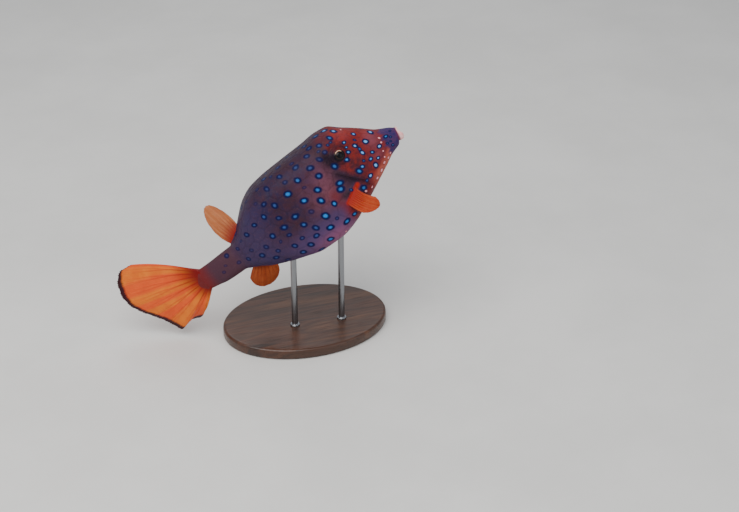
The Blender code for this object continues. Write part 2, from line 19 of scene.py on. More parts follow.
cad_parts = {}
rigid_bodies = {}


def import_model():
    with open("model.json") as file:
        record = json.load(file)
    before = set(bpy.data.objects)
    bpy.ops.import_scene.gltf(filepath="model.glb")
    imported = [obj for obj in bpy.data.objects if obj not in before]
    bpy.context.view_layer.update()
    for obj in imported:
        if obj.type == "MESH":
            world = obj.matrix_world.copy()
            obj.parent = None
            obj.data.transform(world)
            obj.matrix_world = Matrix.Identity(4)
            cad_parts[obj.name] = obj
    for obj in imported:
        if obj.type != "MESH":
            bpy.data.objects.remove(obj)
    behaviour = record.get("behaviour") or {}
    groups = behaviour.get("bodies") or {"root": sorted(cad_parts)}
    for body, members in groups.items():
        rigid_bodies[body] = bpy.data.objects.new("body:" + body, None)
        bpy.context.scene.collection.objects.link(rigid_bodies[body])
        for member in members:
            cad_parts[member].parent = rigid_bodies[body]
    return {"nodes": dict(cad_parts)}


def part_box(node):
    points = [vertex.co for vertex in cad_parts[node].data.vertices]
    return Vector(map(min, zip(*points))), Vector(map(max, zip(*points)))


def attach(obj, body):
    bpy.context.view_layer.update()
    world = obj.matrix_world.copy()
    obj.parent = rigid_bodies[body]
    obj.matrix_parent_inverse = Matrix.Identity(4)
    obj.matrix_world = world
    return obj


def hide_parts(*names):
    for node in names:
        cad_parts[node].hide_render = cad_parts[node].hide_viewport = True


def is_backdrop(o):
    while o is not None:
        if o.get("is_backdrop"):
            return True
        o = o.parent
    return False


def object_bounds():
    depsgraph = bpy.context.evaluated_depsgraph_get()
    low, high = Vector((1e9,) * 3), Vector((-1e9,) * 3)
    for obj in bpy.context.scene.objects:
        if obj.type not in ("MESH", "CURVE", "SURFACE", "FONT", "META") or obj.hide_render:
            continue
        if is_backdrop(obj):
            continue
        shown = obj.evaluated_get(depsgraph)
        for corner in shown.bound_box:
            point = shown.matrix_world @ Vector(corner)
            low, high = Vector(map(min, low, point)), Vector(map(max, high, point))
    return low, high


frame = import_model()
cad_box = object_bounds()
print("CAD nodes:", ", ".join(sorted(frame["nodes"])))

# %% [markdown]
# ## The fish's own axes
#
# A swimming fish is easiest to describe lying level: +X to the head, +Y to its left and +Z to its back, with the
# origin at the root of the tail fin. One matrix then pitches it up, banks it and lifts it over the stand. The same
# numbers stand in the part's source, so the skin lands on the solids.

# %% Pose of the fish over the stand
MM = 0.001
PITCH, BANK = math.radians(31.3), math.radians(23.8)
FISH_ORIGIN = (-0.098, 0.0, 0.070)
TO_STAND = Matrix.Translation(FISH_ORIGIN) @ Matrix.Rotation(-PITCH, 4, "Y") @ Matrix.Rotation(-BANK, 4, "X")


def to_stand(points):
    """Moves an array of points from the fish's axes to the model's."""
    turn, shift = np.array(TO_STAND.to_3x3()), np.array(TO_STAND.translation)
    return points @ turn.T + shift


print("the snout's tip is at", [round(c, 3) for c in TO_STAND @ Vector((230 * MM, 0, 5 * MM))])

# %% [markdown]
# ## The camera
#
# The photograph looks down on the fish from 30 degrees, a little from behind its right side. The camera is made
# first, because every later choice of size and detail is judged through it. A long lens keeps the shapes flat, as
# they are in the photograph.

# %% The photograph's angle
VIEW_AZIMUTH, VIEW_ELEVATION = -20.56, 30  # in degrees, round the stand and up
VIEW_DISTANCE = 1.5
PHOTO_WIDTH_AT_FISH = 0.704  # metres across the photograph, at the fish
AIM_RIGHT, AIM_UP = 0.0635, -0.0446  # from the middle of the shell to the middle of the photograph
SENSOR_WIDTH = 36


def way_out(azimuth, elevation):
    """The direction from the fish to what stands at an azimuth and an elevation in degrees."""
    turn, lift = math.radians(azimuth), math.radians(elevation)
    return Vector((math.sin(turn) * math.cos(lift), -math.cos(turn) * math.cos(lift), math.sin(lift)))


def look_at(thing, target, away, distance):
    """Puts a camera or a lamp at a distance from its target, facing it."""
    bpy.context.scene.collection.objects.link(thing)
    thing.location = target + away * distance
    thing.rotation_euler = (-away).to_track_quat("-Z", "Y").to_euler()


camera_back = way_out(VIEW_AZIMUTH, VIEW_ELEVATION)
print("from the fish the camera lies towards", [round(c, 3) for c in camera_back])

# %% The camera itself
camera_right = Vector((0, 0, 1)).cross(camera_back).normalized()
camera_up = camera_back.cross(camera_right).normalized()
shell_middle = TO_STAND @ Vector((115 * MM, 0, 0))
aim = shell_middle + camera_right * AIM_RIGHT + camera_up * AIM_UP
camera_data = bpy.data.cameras.new("camera")
camera_data.sensor_width = SENSOR_WIDTH
camera_data.lens = SENSOR_WIDTH * VIEW_DISTANCE / PHOTO_WIDTH_AT_FISH
camera = bpy.data.objects.new("camera", camera_data)
look_at(camera, aim, camera_back, VIEW_DISTANCE)
bpy.context.scene.camera = camera
print("camera stands at", [round(c, 3) for c in camera.location])

# %% [markdown]
# ## Helpers for materials
#
# A material in Blender is a graph of nodes. Wired one by one they would fill pages, so a few small functions each add
# one node and give back its output. What goes into a socket is a number, a colour or another node's output.

# %% Materials and their sockets
def new_material(name):
    """A material with a Principled shader. Returns the material, its nodes and the shader."""
    material = bpy.data.materials.new(name)
    material.use_nodes = True
    tree = material.node_tree
    return material, tree, tree.nodes["Principled BSDF"]


def feed(tree, socket, value):
    """Links a node's output into a socket, or sets the socket to a number, a vector or a colour."""
    if isinstance(value, bpy.types.NodeSocket):
        tree.links.new(value, socket)
    else:
        socket.default_value = (*value, 1) if socket.type == "RGBA" else value


def set_shader(tree, shader, **sockets):
    """Feeds the shader's own sockets. What is the same all over a surface is set right here."""
    for name, value in sockets.items():
        feed(tree, shader.inputs[name.replace("_", " ")], value)


def rgb(red, green, blue):
    """A colour as the eye sees it on a screen, 0 to 255, as the linear values that Blender wants."""
    shares = (red / 255, green / 255, blue / 255)
    return tuple(c / 12.92 if c <= 0.04045 else ((c + 0.055) / 1.055) ** 2.4 for c in shares)


print("a grey of 128 on the screen is", round(rgb(128, 128, 128)[0], 3), "of full light")


# %% One node at a time
def place(tree, kind, **sockets):
    """Adds a node and feeds its sockets by name."""
    node = tree.nodes.new(kind)
    for name, value in sockets.items():
        feed(tree, node.inputs[name], value)
    return node


def calc(tree, operation, first, second):
    """One Math node's output."""
    node = tree.nodes.new("ShaderNodeMath")
    node.operation = operation
    feed(tree, node.inputs[0], first)
    feed(tree, node.inputs[1], second)
    return node.outputs[0]


def mix_colour(tree, share, first, second):
    """One colour Mix node's output."""
    node = tree.nodes.new("ShaderNodeMix")
    node.data_type = "RGBA"
    for index, value in ((0, share), (6, first), (7, second)):
        feed(tree, node.inputs[index], value)
    return node.outputs[2]


def remap(tree, value, low, high, to_low=0.0, to_high=1.0):
    """A smooth step from one range to another."""
    node = tree.nodes.new("ShaderNodeMapRange")
    node.interpolation_type = "SMOOTHSTEP"
    for socket, number in zip(node.inputs, (value, low, high, to_low, to_high)):
        feed(tree, socket, number)
    return node.outputs[0]


def ramp(tree, value, stops):
    """A colour ramp through (position, colour) stops."""
    node = tree.nodes.new("ShaderNodeValToRGB")
    while len(node.color_ramp.elements) < len(stops):
        node.color_ramp.elements.new(0.5)
    for element, (position, colour) in zip(node.color_ramp.elements, stops):
        element.position = position
        element.color = (*colour, 1)
    feed(tree, node.inputs[0], value)
    return node.outputs[0]


def painted(tree, name):
    """A value painted on the mesh's points."""
    node = tree.nodes.new("ShaderNodeAttribute")
    node.attribute_name = name
    return node.outputs["Fac"]


def object_points(tree):
    """Each point's own place on the object, so that patterns stay put on it."""
    return tree.nodes.new("ShaderNodeTexCoord").outputs["Object"]


# %% [markdown]
# ## Effects that several finishes share
#
# Skin and fins both have soft cloudy patches and a fine grain of pimples, and wood and brushed steel both have a
# pattern that is drawn out in one direction. Each effect is one node group with named inputs. It is built once, and
# each finish places it with its own scale and strength.

# %% How a node group is made and used
def new_group(name, inputs, output):
    """A group with (name, default) inputs, None for a vector, and one number as its output."""
    group = bpy.data.node_groups.new(name, "ShaderNodeTree")
    for label, default in inputs:
        kind = "NodeSocketVector" if default is None else "NodeSocketFloat"
        socket = group.interface.new_socket(label, in_out="INPUT", socket_type=kind)
        if default is not None:
            socket.default_value = default
    group.interface.new_socket(output, in_out="OUTPUT", socket_type="NodeSocketFloat")
    return group, group.nodes.new("NodeGroupInput").outputs, group.nodes.new("NodeGroupOutput").inputs[output]


def use_group(tree, group, **sockets):
    """Places a node group and returns its output."""
    node = tree.nodes.new("ShaderNodeGroup")
    node.node_tree = group
    for name, value in sockets.items():
        feed(tree, node.inputs[name], value)
    return node.outputs[0]


# %% Cloudy patches, fine grain and drawn-out grain
cloud_group, cloud_in, patch_out = new_group(
    "cloudy_patches", (("Place", None), ("Size", 30.0), ("Low", 0.4), ("High", 0.6)), "Patch"
)
clouds = place(
    cloud_group, "ShaderNodeTexNoise", Vector=cloud_in["Place"], Scale=cloud_in["Size"], Detail=5.0, Roughness=0.6
)
feed(cloud_group, patch_out, remap(cloud_group, clouds.outputs["Fac"], cloud_in["Low"], cloud_in["High"]))

grain_group, grain_in, height_out = new_group(
    "fine_grain", (("Place", None), ("Pimples", 900.0), ("Wrinkles", 260.0)), "Height"
)
pimples = place(grain_group, "ShaderNodeTexVoronoi", Vector=grain_in["Place"], Scale=grain_in["Pimples"])
pimples.feature = "SMOOTH_F1"
wrinkles = place(grain_group, "ShaderNodeTexNoise", Vector=grain_in["Place"], Scale=grain_in["Wrinkles"], Detail=4.0)
pimple_height = calc(grain_group, "MULTIPLY", calc(grain_group, "SUBTRACT", 0.6, pimples.outputs["Distance"]), 0.6)
feed(grain_group, height_out, calc(grain_group, "ADD", pimple_height, wrinkles.outputs["Fac"]))

drawn_group, drawn_in, drawn_out = new_group(
    "drawn_out_grain", (("Place", None), ("Stretch", None), ("Detail", 3.0), ("Distortion", 0.0)), "Grain"
)
stretched = place(drawn_group, "ShaderNodeMapping", Vector=drawn_in["Place"], Scale=drawn_in["Stretch"])
fibres = place(
    drawn_group,
    "ShaderNodeTexNoise",
    Vector=stretched.outputs[0],
    Scale=1.0,
    Detail=drawn_in["Detail"],
    Distortion=drawn_in["Distortion"],
)
feed(drawn_group, drawn_out, fibres.outputs["Fac"])
print("node groups:", [group.name for group in bpy.data.node_groups])

# %% [markdown]
# ## Floor and light
#
# The floor is a plain pale sheet, large enough to fill the view, and isn't part of the object. The light is plain
# too, as in a studio: one broad soft key from above, a wide fill and a weak light from behind. A picture of a studio
# wrapped round the scene would light it as well, but lamps can be moved and dimmed one at a time.

# %% Floor
FLOOR_HALF, FLOOR_DROP = 3.0, 0.0005
floor_mesh = bpy.data.meshes.new("floor")
floor_corners = [(x * FLOOR_HALF, y * FLOOR_HALF, 0) for x, y in ((-1, -1), (1, -1), (1, 1), (-1, 1))]
floor_mesh.from_pydata(floor_corners, [], [(0, 1, 2, 3)])
floor = bpy.data.objects.new("floor", floor_mesh)
bpy.context.scene.collection.objects.link(floor)
floor.location.z = -FLOOR_DROP
floor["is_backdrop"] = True
floor_finish, tree, shader = new_material("pale_floor")
floor_cloud = use_group(tree, cloud_group, Place=object_points(tree), Size=6.0, Low=0.3, High=0.7)
floor_colour = mix_colour(tree, floor_cloud, rgb(218, 217, 214), rgb(226, 225, 222))
set_shader(tree, shader, Base_Color=floor_colour, Roughness=0.8)
floor_mesh.materials.append(floor_finish)
print("floor:", 2 * FLOOR_HALF, "m wide")

# %% Lights
LIGHTS = (
    # name, azimuth, elevation, distance, size, power, colour
    ("key_light", -50, 58, 1.3, 1.2, 19, (1.0, 0.98, 0.95)),
    ("fill_light", 40, 22, 1.4, 1.2, 4, (0.94, 0.97, 1.0)),
    ("back_light", 165, 48, 1.2, 0.8, 2.5, (1, 1, 1)),
)
for name, azimuth, elevation, distance, size, power, light_colour in LIGHTS:
    light = bpy.data.lights.new(name, "AREA")
    light.energy, light.size, light.color = power, size, light_colour
    look_at(bpy.data.objects.new(name, light), shell_middle, way_out(azimuth, elevation), distance)
world = bpy.data.worlds.new("studio_air")
bpy.context.scene.world = world
world.use_nodes = True
air = world.node_tree.nodes["Background"].inputs
air["Color"].default_value = (0.92, 0.95, 1.0, 1)
air["Strength"].default_value = 0.5
print("lights:", [row[0] for row in LIGHTS])

# %% [markdown]
# ## The body's surface
#
# A boxfish's shell is a box with rounded ridges, so each cross-section is a squared ellipse: wide at the belly,
# narrower at the back. A table of such sections, read through a smooth curve that never overshoots, gives the whole
# body. Points round a section are counted in plates, so that the ridges always fall on the same counts and plates
# keep clear of them.

# %% Section tables and the curve through them
PLATES_ROUND, PLATES_PER_SIDE, RIDGE_TURN = 20, 5, 2.5
PEDUNCLE_END, TAIL_ROOT, SNOUT_START, LIP_START = 40 * MM, -2 * MM, 207 * MM, 228 * MM
CROWN, FLANK_HOLLOW = 2.5 * MM, 0.035
TAIL_BEND = math.radians(20)
CARAPACE_SECTIONS = np.array(
    (
        (40, 14.0, -13.3, 12.5, 14.0, 2.6),
        (50, 19.0, -17.0, 20.0, 23.0, 3.0),
        (60, 28.0, -22.0, 27.0, 31.0, 3.6),
        (75, 39.0, -27.5, 33.5, 38.0, 4.2),
        (90, 44.5, -32.5, 36.5, 41.5, 4.6),
        (110, 46.5, -38.0, 38.0, 44.0, 4.8),
        (130, 47.0, -38.5, 38.0, 44.5, 4.8),
        (150, 47.5, -34.5, 36.5, 42.5, 4.6),
        (165, 48.6, -28.5, 34.0, 38.5, 4.4),
        (178, 47.7, -23.5, 30.5, 33.5, 4.0),
        (190, 39.5, -19.0, 25.0, 27.5, 3.4),
        (205, 28.2, -13.0, 17.0, 19.0, 2.8),
        (217, 18.4, -8.2, 11.5, 12.5, 2.3),
        (229, 9.7, -5.6, 8.0, 8.5, 2.1),
    )
)
PEDUNCLE_SECTIONS = np.array(
    (
        (-2, 12.5, -9.5, 4.0, 4.0, 2.2),
        (8, 12.6, -10.8, 5.5, 5.5, 2.2),
        (18, 12.9, -12.4, 7.5, 8.0, 2.3),
        (30, 13.4, -12.7, 10.0, 10.8, 2.4),
        (40, 13.3, -12.6, 11.7, 13.2, 2.5),
    )
)


def smooth(at, stations, values):
    """A monotone cubic through the values, so that a profile never bulges between two stations."""
    step = np.diff(stations)
    slope = np.diff(values) / step
    before, after = slope[:-1], slope[1:]
    same_way = before * after > 0
    near, far = 2 * step[1:] + step[:-1], step[1:] + 2 * step[:-1]
    mean = (near + far) / (near / np.where(same_way, before, 1) + far / np.where(same_way, after, 1))
    tangent = np.concatenate(([slope[0]], np.where(same_way, mean, 0), [slope[-1]]))
    at = np.clip(at, stations[0], stations[-1])
    k = np.clip(np.searchsorted(stations, at) - 1, 0, len(step) - 1)
    t = (at - stations[k]) / step[k]
    bend = values[k] * (1 + 2 * t) * (1 - t) ** 2 + values[k + 1] * t * t * (3 - 2 * t)
    return bend + step[k] * (tangent[k] * t * (1 - t) ** 2 - tangent[k + 1] * t * t * (1 - t))


def smooth_step(low, high, value):
    """0 at low and 1 at high, whichever of them is larger, with a soft bend at both ends."""
    t = np.clip((np.asarray(value, float) - low) / (high - low), 0, 1)
    return t * t * (3 - 2 * t)


# %% Points round a section
SECTION_STEPS = 96
STEM_STOPS, SHELL_STARTS = PEDUNCLE_END - 3 * MM, PEDUNCLE_END + 1 * MM


def ring(sections, x, turns):
    """Points of the section at x. turns counts plates from the middle of the back over the fish's right side."""
    back, belly, back_half, belly_half, square = (
        float(smooth(x / MM, sections[:, 0], sections[:, column])) for column in range(1, 6)
    )
    middle, half_height = (back + belly) / 2 * MM, (back - belly) / 2 * MM
    back_half, belly_half = back_half * MM, belly_half * MM
    crown = CROWN * min(1, max(0, (square - 2.4) / 2))
    along = (np.asarray(turns, float) + RIDGE_TURN) % PLATES_ROUND
    side = (along // PLATES_PER_SIDE).astype(int)
    share = along % PLATES_PER_SIDE / PLATES_PER_SIDE
    points = np.empty((len(along), 3))
    points[:, 0] = x
    for corner in range(4):
        angle = np.radians(45 + 90 * (corner + np.linspace(0, 1, SECTION_STEPS)))
        across = np.sign(np.cos(angle)) * np.abs(np.cos(angle)) ** (2 / square)
        up = np.sign(np.sin(angle)) * np.abs(np.sin(angle)) ** (2 / square)
        half = belly_half + (back_half - belly_half) * (up + 1) / 2
        y = across * half * (1 - FLANK_HOLLOW * (1 - up**2) ** 2)
        z = middle + up * half_height + crown * (1 - across**2) * up
        reach = np.concatenate(([0], np.cumsum(np.hypot(np.diff(y), np.diff(z)))))
        here = side == corner
        points[here, 1] = np.interp(share[here] * reach[-1], reach, y)
        points[here, 2] = np.interp(share[here] * reach[-1], reach, z)
    return points


def body_ring(x, turns):
    """A section anywhere from the tail fin's root to the mouth, with the shell's rim stepping up off the stem."""
    if x <= STEM_STOPS:
        return ring(PEDUNCLE_SECTIONS, x, turns)
    shell = ring(CARAPACE_SECTIONS, x, turns)
    if x >= SHELL_STARTS:
        return shell
    stem = ring(PEDUNCLE_SECTIONS, x, turns)
    return stem + (shell - stem) * float(smooth_step(STEM_STOPS, SHELL_STARTS, x))


widest = ring(CARAPACE_SECTIONS, 130 * MM, np.linspace(0, PLATES_ROUND, 201))
print("girth at the widest:", round(float(np.linalg.norm(np.diff(widest, axis=0), axis=1).sum()), 3), "m")

# %% [markdown]
# The stem of the tail bends to the left as the fish beats its tail. Bending is done last, on the finished points:
# the stem follows an arc, and its sections stay square to it. Bones would bend it too, and are the way for a fish
# that moves. For one still pose a formula is shorter.

# %% The bend of the tail
def tail_bent(points):
    """Moves points behind the shell along the arc of the tail."""
    radius = (PEDUNCLE_END - TAIL_ROOT) / TAIL_BEND
    x, y = points[..., 0], points[..., 1]
    along = np.clip(PEDUNCLE_END - x, 0, PEDUNCLE_END - TAIL_ROOT)
    beyond = np.clip(TAIL_ROOT - x, 0, None)
    angle = along / radius
    bent = points.copy()
    behind = x < PEDUNCLE_END
    new_x = PEDUNCLE_END - radius * np.sin(angle) + y * np.sin(angle) - beyond * np.cos(angle)
    new_y = radius * (1 - np.cos(angle)) + y * np.cos(angle) + beyond * np.sin(angle)
    bent[..., 0] = np.where(behind, new_x, x)
    bent[..., 1] = np.where(behind, new_y, y)
    return bent


tail_way = np.array((-math.cos(TAIL_BEND), math.sin(TAIL_BEND), 0))
tail_left = np.array((math.sin(TAIL_BEND), math.cos(TAIL_BEND), 0))
tail_end = tail_bent(np.array((TAIL_ROOT, 0, 0)))
print("the stem ends at", tail_end.round(4))

# %% [markdown]
# ## Plates of the shell
#
# The shell's plates make a honeycomb. The columns crowd together where the body is slim, as they do on the animal.
# A plate could be modelled as a polygon of its own. Here the honeycomb is a distance instead: each point of the skin
# is asked how far it lies from the line between its two nearest plates, and that one number shapes the grooves.

# %% The honeycomb
PLATE_COLUMNS, PLATE_CROWDING = 15, 0.7
COLUMN_SPACING = 0.87  # a honeycomb's columns stand closer than its plates are wide
FAR_AWAY = 9.0  # metres, further than anything on the fish


def column_stations():
    """Matching rows: places counted in plate columns, how far forward each lies, and the girth there."""
    stations = np.linspace(PEDUNCLE_END, SNOUT_START, 120)
    turns = np.arange(0, PLATES_ROUND, 0.5)
    girths = []
    for x in stations:
        points = ring(CARAPACE_SECTIONS, x, turns)
        girths.append(np.linalg.norm(points - np.roll(points, 1, axis=0), axis=1).sum())
    crowding = np.array(girths) ** -PLATE_CROWDING
    reach = np.concatenate(([0], np.cumsum((crowding[1:] + crowding[:-1]) / 2)))
    return reach / reach[-1] * (PLATE_COLUMNS - 1 / 3) - 1 / 3, stations, np.array(girths)


COLUMN_AT, STATION_AT, GIRTH_AT = column_stations()


def plate_width(x):
    return np.interp(x, STATION_AT, GIRTH_AT) / PLATES_ROUND


def plate_edge(x, turns):
    """How deep inside its plate a point lies, in metres: 0 on the line between two plates."""
    column = np.interp(x, STATION_AT, COLUMN_AT)
    best = np.full((2, len(turns)), FAR_AWAY)
    for near in (math.floor(column), math.floor(column) + 1):
        row = (near % 2) / 2
        for step in (0, 1):
            centre = np.floor(turns - row) + row + step
            away = np.hypot((column - near) * COLUMN_SPACING, turns - centre)
            best = np.sort(np.vstack((best, away)), axis=0)[:2]
    return (best[1] - best[0]) / 2 * plate_width(x)


print("plates on the shell:", PLATE_COLUMNS * PLATES_ROUND)

# %% [markdown]
# ## Landmarks of the head
#
# The eye sits just under the ridge of the back, behind two small nostrils. The gill slit is short and curved, in
# front of the fleshy root of the pectoral fin. Each is placed on the flank by its distance from the tail and its
# height, for both sides at once. Points in space would do as well, but they would float or sink with every change
# of the body's shape.

# %% Where things lie on the flank
EYE_RADIUS, EYE_SINK = 8.2 * MM, 5.2 * MM
# places as (forward of the tail's root, height over the axis), in millimetres
EYE_PLACE, NOSTRIL_PLACES = (172.5, 25.5), ((190.5, 24.5), (193.5, 22.0))
GILL_PLACES = [(160 + 18 * s, 12.5 - 21 * s - 3 * s * (1 - s)) for s in np.linspace(0, 1, 25)]
PECTORAL_PLACES, MUSCLE_PLACES = ((168, -2), (151, -10.5)), ((168.3, -4.3), (151.6, -12.8))


def flank_point(forward, height):
    """The point of the right flank at a place given in millimetres, and its normal."""
    x, height = forward * MM, height * MM
    turns = np.linspace(RIDGE_TURN, RIDGE_TURN + PLATES_PER_SIDE, 161)
    here = ring(CARAPACE_SECTIONS, x, turns)
    turn = float(np.interp(-height, -here[:, 2], turns))
    point, low, high = (ring(CARAPACE_SECTIONS, x, [turn + step])[0] for step in (0, 0.05, -0.05))
    fore = ring(CARAPACE_SECTIONS, x + MM, [turn])[0]
    normal = np.cross(fore - point, high - low)
    normal /= np.linalg.norm(normal)
    return point, normal if normal[1] < 0 else -normal


def flank_line(places):
    return np.array([flank_point(*place)[0] for place in places])


eye_flank, eye_out = flank_point(*EYE_PLACE)
eye_centre = eye_flank - eye_out * EYE_SINK
eye_along = np.array((1.0, 0, 0)) - eye_out * eye_out[0]
eye_along /= np.linalg.norm(eye_along)
eye_up = np.cross(eye_out, eye_along)
eye_up *= np.sign(eye_up[2])
nostrils, gill_line, muscle_line = flank_line(NOSTRIL_PLACES), flank_line(GILL_PLACES), flank_line(MUSCLE_PLACES)
print("eye at", eye_centre.round(4), "gill slit from", gill_line[0].round(4), "to", gill_line[-1].round(4))

# %% [markdown]
# ## One skin for the whole body
#
# The skin is a single grid of quads wrapped round the fish, from the root of the tail fin, over the shell and the
# snout, round the lips and into the mouth. A grid is chosen over a sculpted mesh because every row and column has a
# meaning: relief and colour can then be worked out for each point from where it lies on the animal. Rows crowd
# together at the lips and the eye, where the detail is finest.

# %% The grid before its relief
AROUND = 480
turns = np.arange(AROUND) / AROUND * PLATES_ROUND
ROW_STRETCHES = (
    # from, to, and how many rows
    (TAIL_ROOT, 36 * MM, 70),
    (36 * MM, 165 * MM, 271),
    (165 * MM, 200 * MM, 111),
    (200 * MM, LIP_START, 61),
)
body_x = np.unique(np.concatenate([np.linspace(*stretch) for stretch in ROW_STRETCHES]))
grid = np.array([body_ring(x, turns) for x in body_x])
print("rows along the body:", len(body_x))

# %% [markdown]
# At its rear end the stem doesn't stop at the tail fin. A web of flesh thins out over the roots of the rays, furthest
# along the middle ones. It is made of more rows, each a flatter copy of the stem's last one. A piece of its own
# would be simpler, but would show a seam where it starts.

# %% The web of flesh over the tail fin's rays
WEB_ROWS, WEB_REACH, WEB_MIDDLE = 24, 10 * MM, 1.5 * MM
web = []
for share in np.linspace(1, 0, WEB_ROWS, endpoint=False):
    outline = grid[0].copy()
    from_middle = (outline[:, 2] - WEB_MIDDLE) / np.abs(outline[:, 2] - WEB_MIDDLE).max()
    outline[:, 0] = TAIL_ROOT - WEB_REACH * share * (1 - 0.68 * from_middle**2)
    outline[:, 1] *= 1 - 0.9 * share**0.8
    outline[:, 2] = WEB_MIDDLE + (outline[:, 2] - WEB_MIDDLE) * (1 + 0.2 * share)
    web.append(outline)
grid = np.concatenate((np.array(web), grid))
print("the web reaches", round(float((TAIL_ROOT - grid[0, :, 0].min()) * 1000), 1), "mm along the rays")

# %% [markdown]
# The snout's end is rounded off towards the lips, and its upper edge reaches further forward than its lower one. The
# lips then roll forward off it and back into the mouth: a profile of their thickness is carried round the opening,
# thin above and full below. Two bent tubes would make lips too, but would meet the snout in a hard line.

# %% The snout's end
MOUTH_HEIGHT, MOUTH_LEAN, LEAN_START = 3.5 * MM, 0.28, 214 * MM
SNOUT_ROUNDING, ROUNDED_WIDTH, ROUNDED_HEIGHT = 4 * MM, 7.5 * MM, 7.0 * MM
for row in np.where(grid[:, 0, 0] > LIP_START - SNOUT_ROUNDING)[0]:
    share = 1 - (LIP_START - grid[row, 0, 0]) / SNOUT_ROUNDING
    angle = np.arctan2(grid[row][:, 2] - MOUTH_HEIGHT, grid[row][:, 1])
    rounded = np.stack((np.cos(angle) * ROUNDED_WIDTH, np.sin(angle) * ROUNDED_HEIGHT + MOUTH_HEIGHT), -1)
    grid[row, :, 1:] += (rounded - grid[row, :, 1:]) * (1 - math.sqrt(1 - share**2))
grid[..., 0] += MOUTH_LEAN * grid[..., 2] * smooth_step(LEAN_START, LIP_START, grid[..., 0])
print("the snout ends at", (grid[-1].mean(axis=0) * 1000).round(1), "mm")

# %% The lips
LIP_PROFILE = np.array(
    (
        # forward of the snout's end, half width, half height, in millimetres
        (0.2, 7.1, 6.4),
        (0.6, 6.9, 6.1),
        (1.2, 7.2, 6.4),
        (2.2, 7.9, 7.0),
        (3.4, 8.1, 7.0),
        (4.5, 7.8, 6.4),
        (5.1, 7.1, 5.3),
        (5.2, 6.5, 4.2),
        (4.8, 5.9, 3.0),
        (3.9, 5.4, 2.1),
        (2.4, 4.9, 1.6),
        (0.0, 4.3, 1.4),
        (-3.0, 3.4, 1.1),
        (-5.0, 1.6, 0.6),
    )
)
LIP_ROWS, LIP_BOW = 64, 0.9 * MM
profile_at = np.concatenate(([0], np.cumsum(np.linalg.norm(np.diff(LIP_PROFILE, axis=0), axis=1))))
angles = np.arctan2(grid[-1][:, 2] - MOUTH_HEIGHT, grid[-1][:, 1])
lips = np.empty((LIP_ROWS, AROUND, 3))
for outline, reach in zip(lips, np.linspace(0, profile_at[-1], LIP_ROWS)):
    forward, half_width, half_height = (smooth(reach, profile_at, column) * MM for column in LIP_PROFILE.T)
    bow = LIP_BOW * np.cos(angles) ** 4 * min(1, forward / (4 * MM))
    fuller = 1.25 - 0.75 * smooth_step(-0.3, 0.8, np.sin(angles)) if forward > 0 else 1
    outline[:, 1] = np.cos(angles) * half_width
    outline[:, 2] = MOUTH_HEIGHT + np.sin(angles) * half_height
    outline[:, 0] = LIP_START + forward * fuller - np.maximum(bow, 0) + MOUTH_LEAN * outline[:, 2]
grid = np.concatenate((grid, lips))
rows, lip_start_row = len(grid), WEB_ROWS + len(body_x)
print("skin grid:", rows, "by", AROUND, "=", rows * AROUND, "points")

# %% Normals of the grid
STEM_ROW = WEB_ROWS + 40  # a row where out of the skin is surely away from its middle
around_way = np.roll(grid, -1, axis=1) - np.roll(grid, 1, axis=1)
normals = np.cross(np.gradient(grid, axis=0), around_way)
length = np.linalg.norm(normals, axis=2, keepdims=True)
normals /= np.where(length > 1e-15, length, 1)
outward = ((grid - grid.mean(axis=1, keepdims=True)) * normals).sum(axis=2)
side_out = np.sign(outward[STEM_ROW].mean())
normals *= side_out
print("share of the normals that point out:", round(float((outward * side_out > 0).mean()), 3))

# %% [markdown]
# Relief comes next. Each plate rises a fifth of a millimetre from a soft groove, the shell ends in a low rim over the
# stem of the tail, and the roots of the fins swell a little. All of it is added along the normals. A bump in the
# material would cost fewer faces, but it is lost at the outline.

# %% Relief of the plates and rims
PLATE_RELIEF, GROOVE_WIDTH, FIN_SWELLING = 0.2 * MM, 1.3 * MM, 1.1 * MM
PLATES_BEGIN, PLATES_END = (PEDUNCLE_END + 1 * MM, PEDUNCLE_END + 4 * MM), (215 * MM, 203 * MM)
FIN_SWELLINGS = ((0, 48.2 * MM), (10, 54.5 * MM))  # turn and distance forward, on the back and under the belly


def bell(distance, reach):
    """1 at no distance, falling off softly at about the reach."""
    return np.exp(-((distance / reach) ** 2))


lift, groove = np.zeros((rows, AROUND)), np.zeros((rows, AROUND))
for row, x in enumerate(body_x, WEB_ROWS):
    on_shell = float(smooth_step(*PLATES_BEGIN, x) * smooth_step(*PLATES_END, x))
    if on_shell:
        rise = smooth_step(0.0, GROOVE_WIDTH, plate_edge(x, turns))
        lift[row] += PLATE_RELIEF * on_shell * (rise - 0.6)
        # The grooves between the plates are kept as a mask too, for painted shade in them.
        groove[row] = on_shell * (1 - rise)
    past_rim = x - PEDUNCLE_END
    lift[row] += 0.12 * MM * bell(past_rim - 2.2 * MM, 1.3 * MM) - 0.07 * MM * bell(past_rim + 0.6 * MM, 0.9 * MM)
for turn, x in FIN_SWELLINGS:
    root = body_ring(x, [turn])[0]
    away = np.hypot((grid[..., 0] - root[0]) / 2.6, grid[..., 1] - root[1])
    same_side = np.sign(grid[..., 2]) == np.sign(root[2])
    lift += FIN_SWELLING * bell(away, 3.2 * MM) * same_side * (grid[..., 0] > PEDUNCLE_END)
print("relief from", round(lift.min() * 1000, 2), "to", round(lift.max() * 1000, 2), "mm")

# %% [markdown]
# The head has smaller forms: a gill slit with a soft fold behind it, two nostrils with raised rims, and the muscle
# under the root of each pectoral fin, which swells towards its lower end. They could be cut and joined as solids.
# Here each is a soft rise or dip by its distance from a point or a line, so that they run into each other.

# %% The gill slit
GILL_CUT, GILL_FOLD = 1.0 * MM, 0.45 * MM


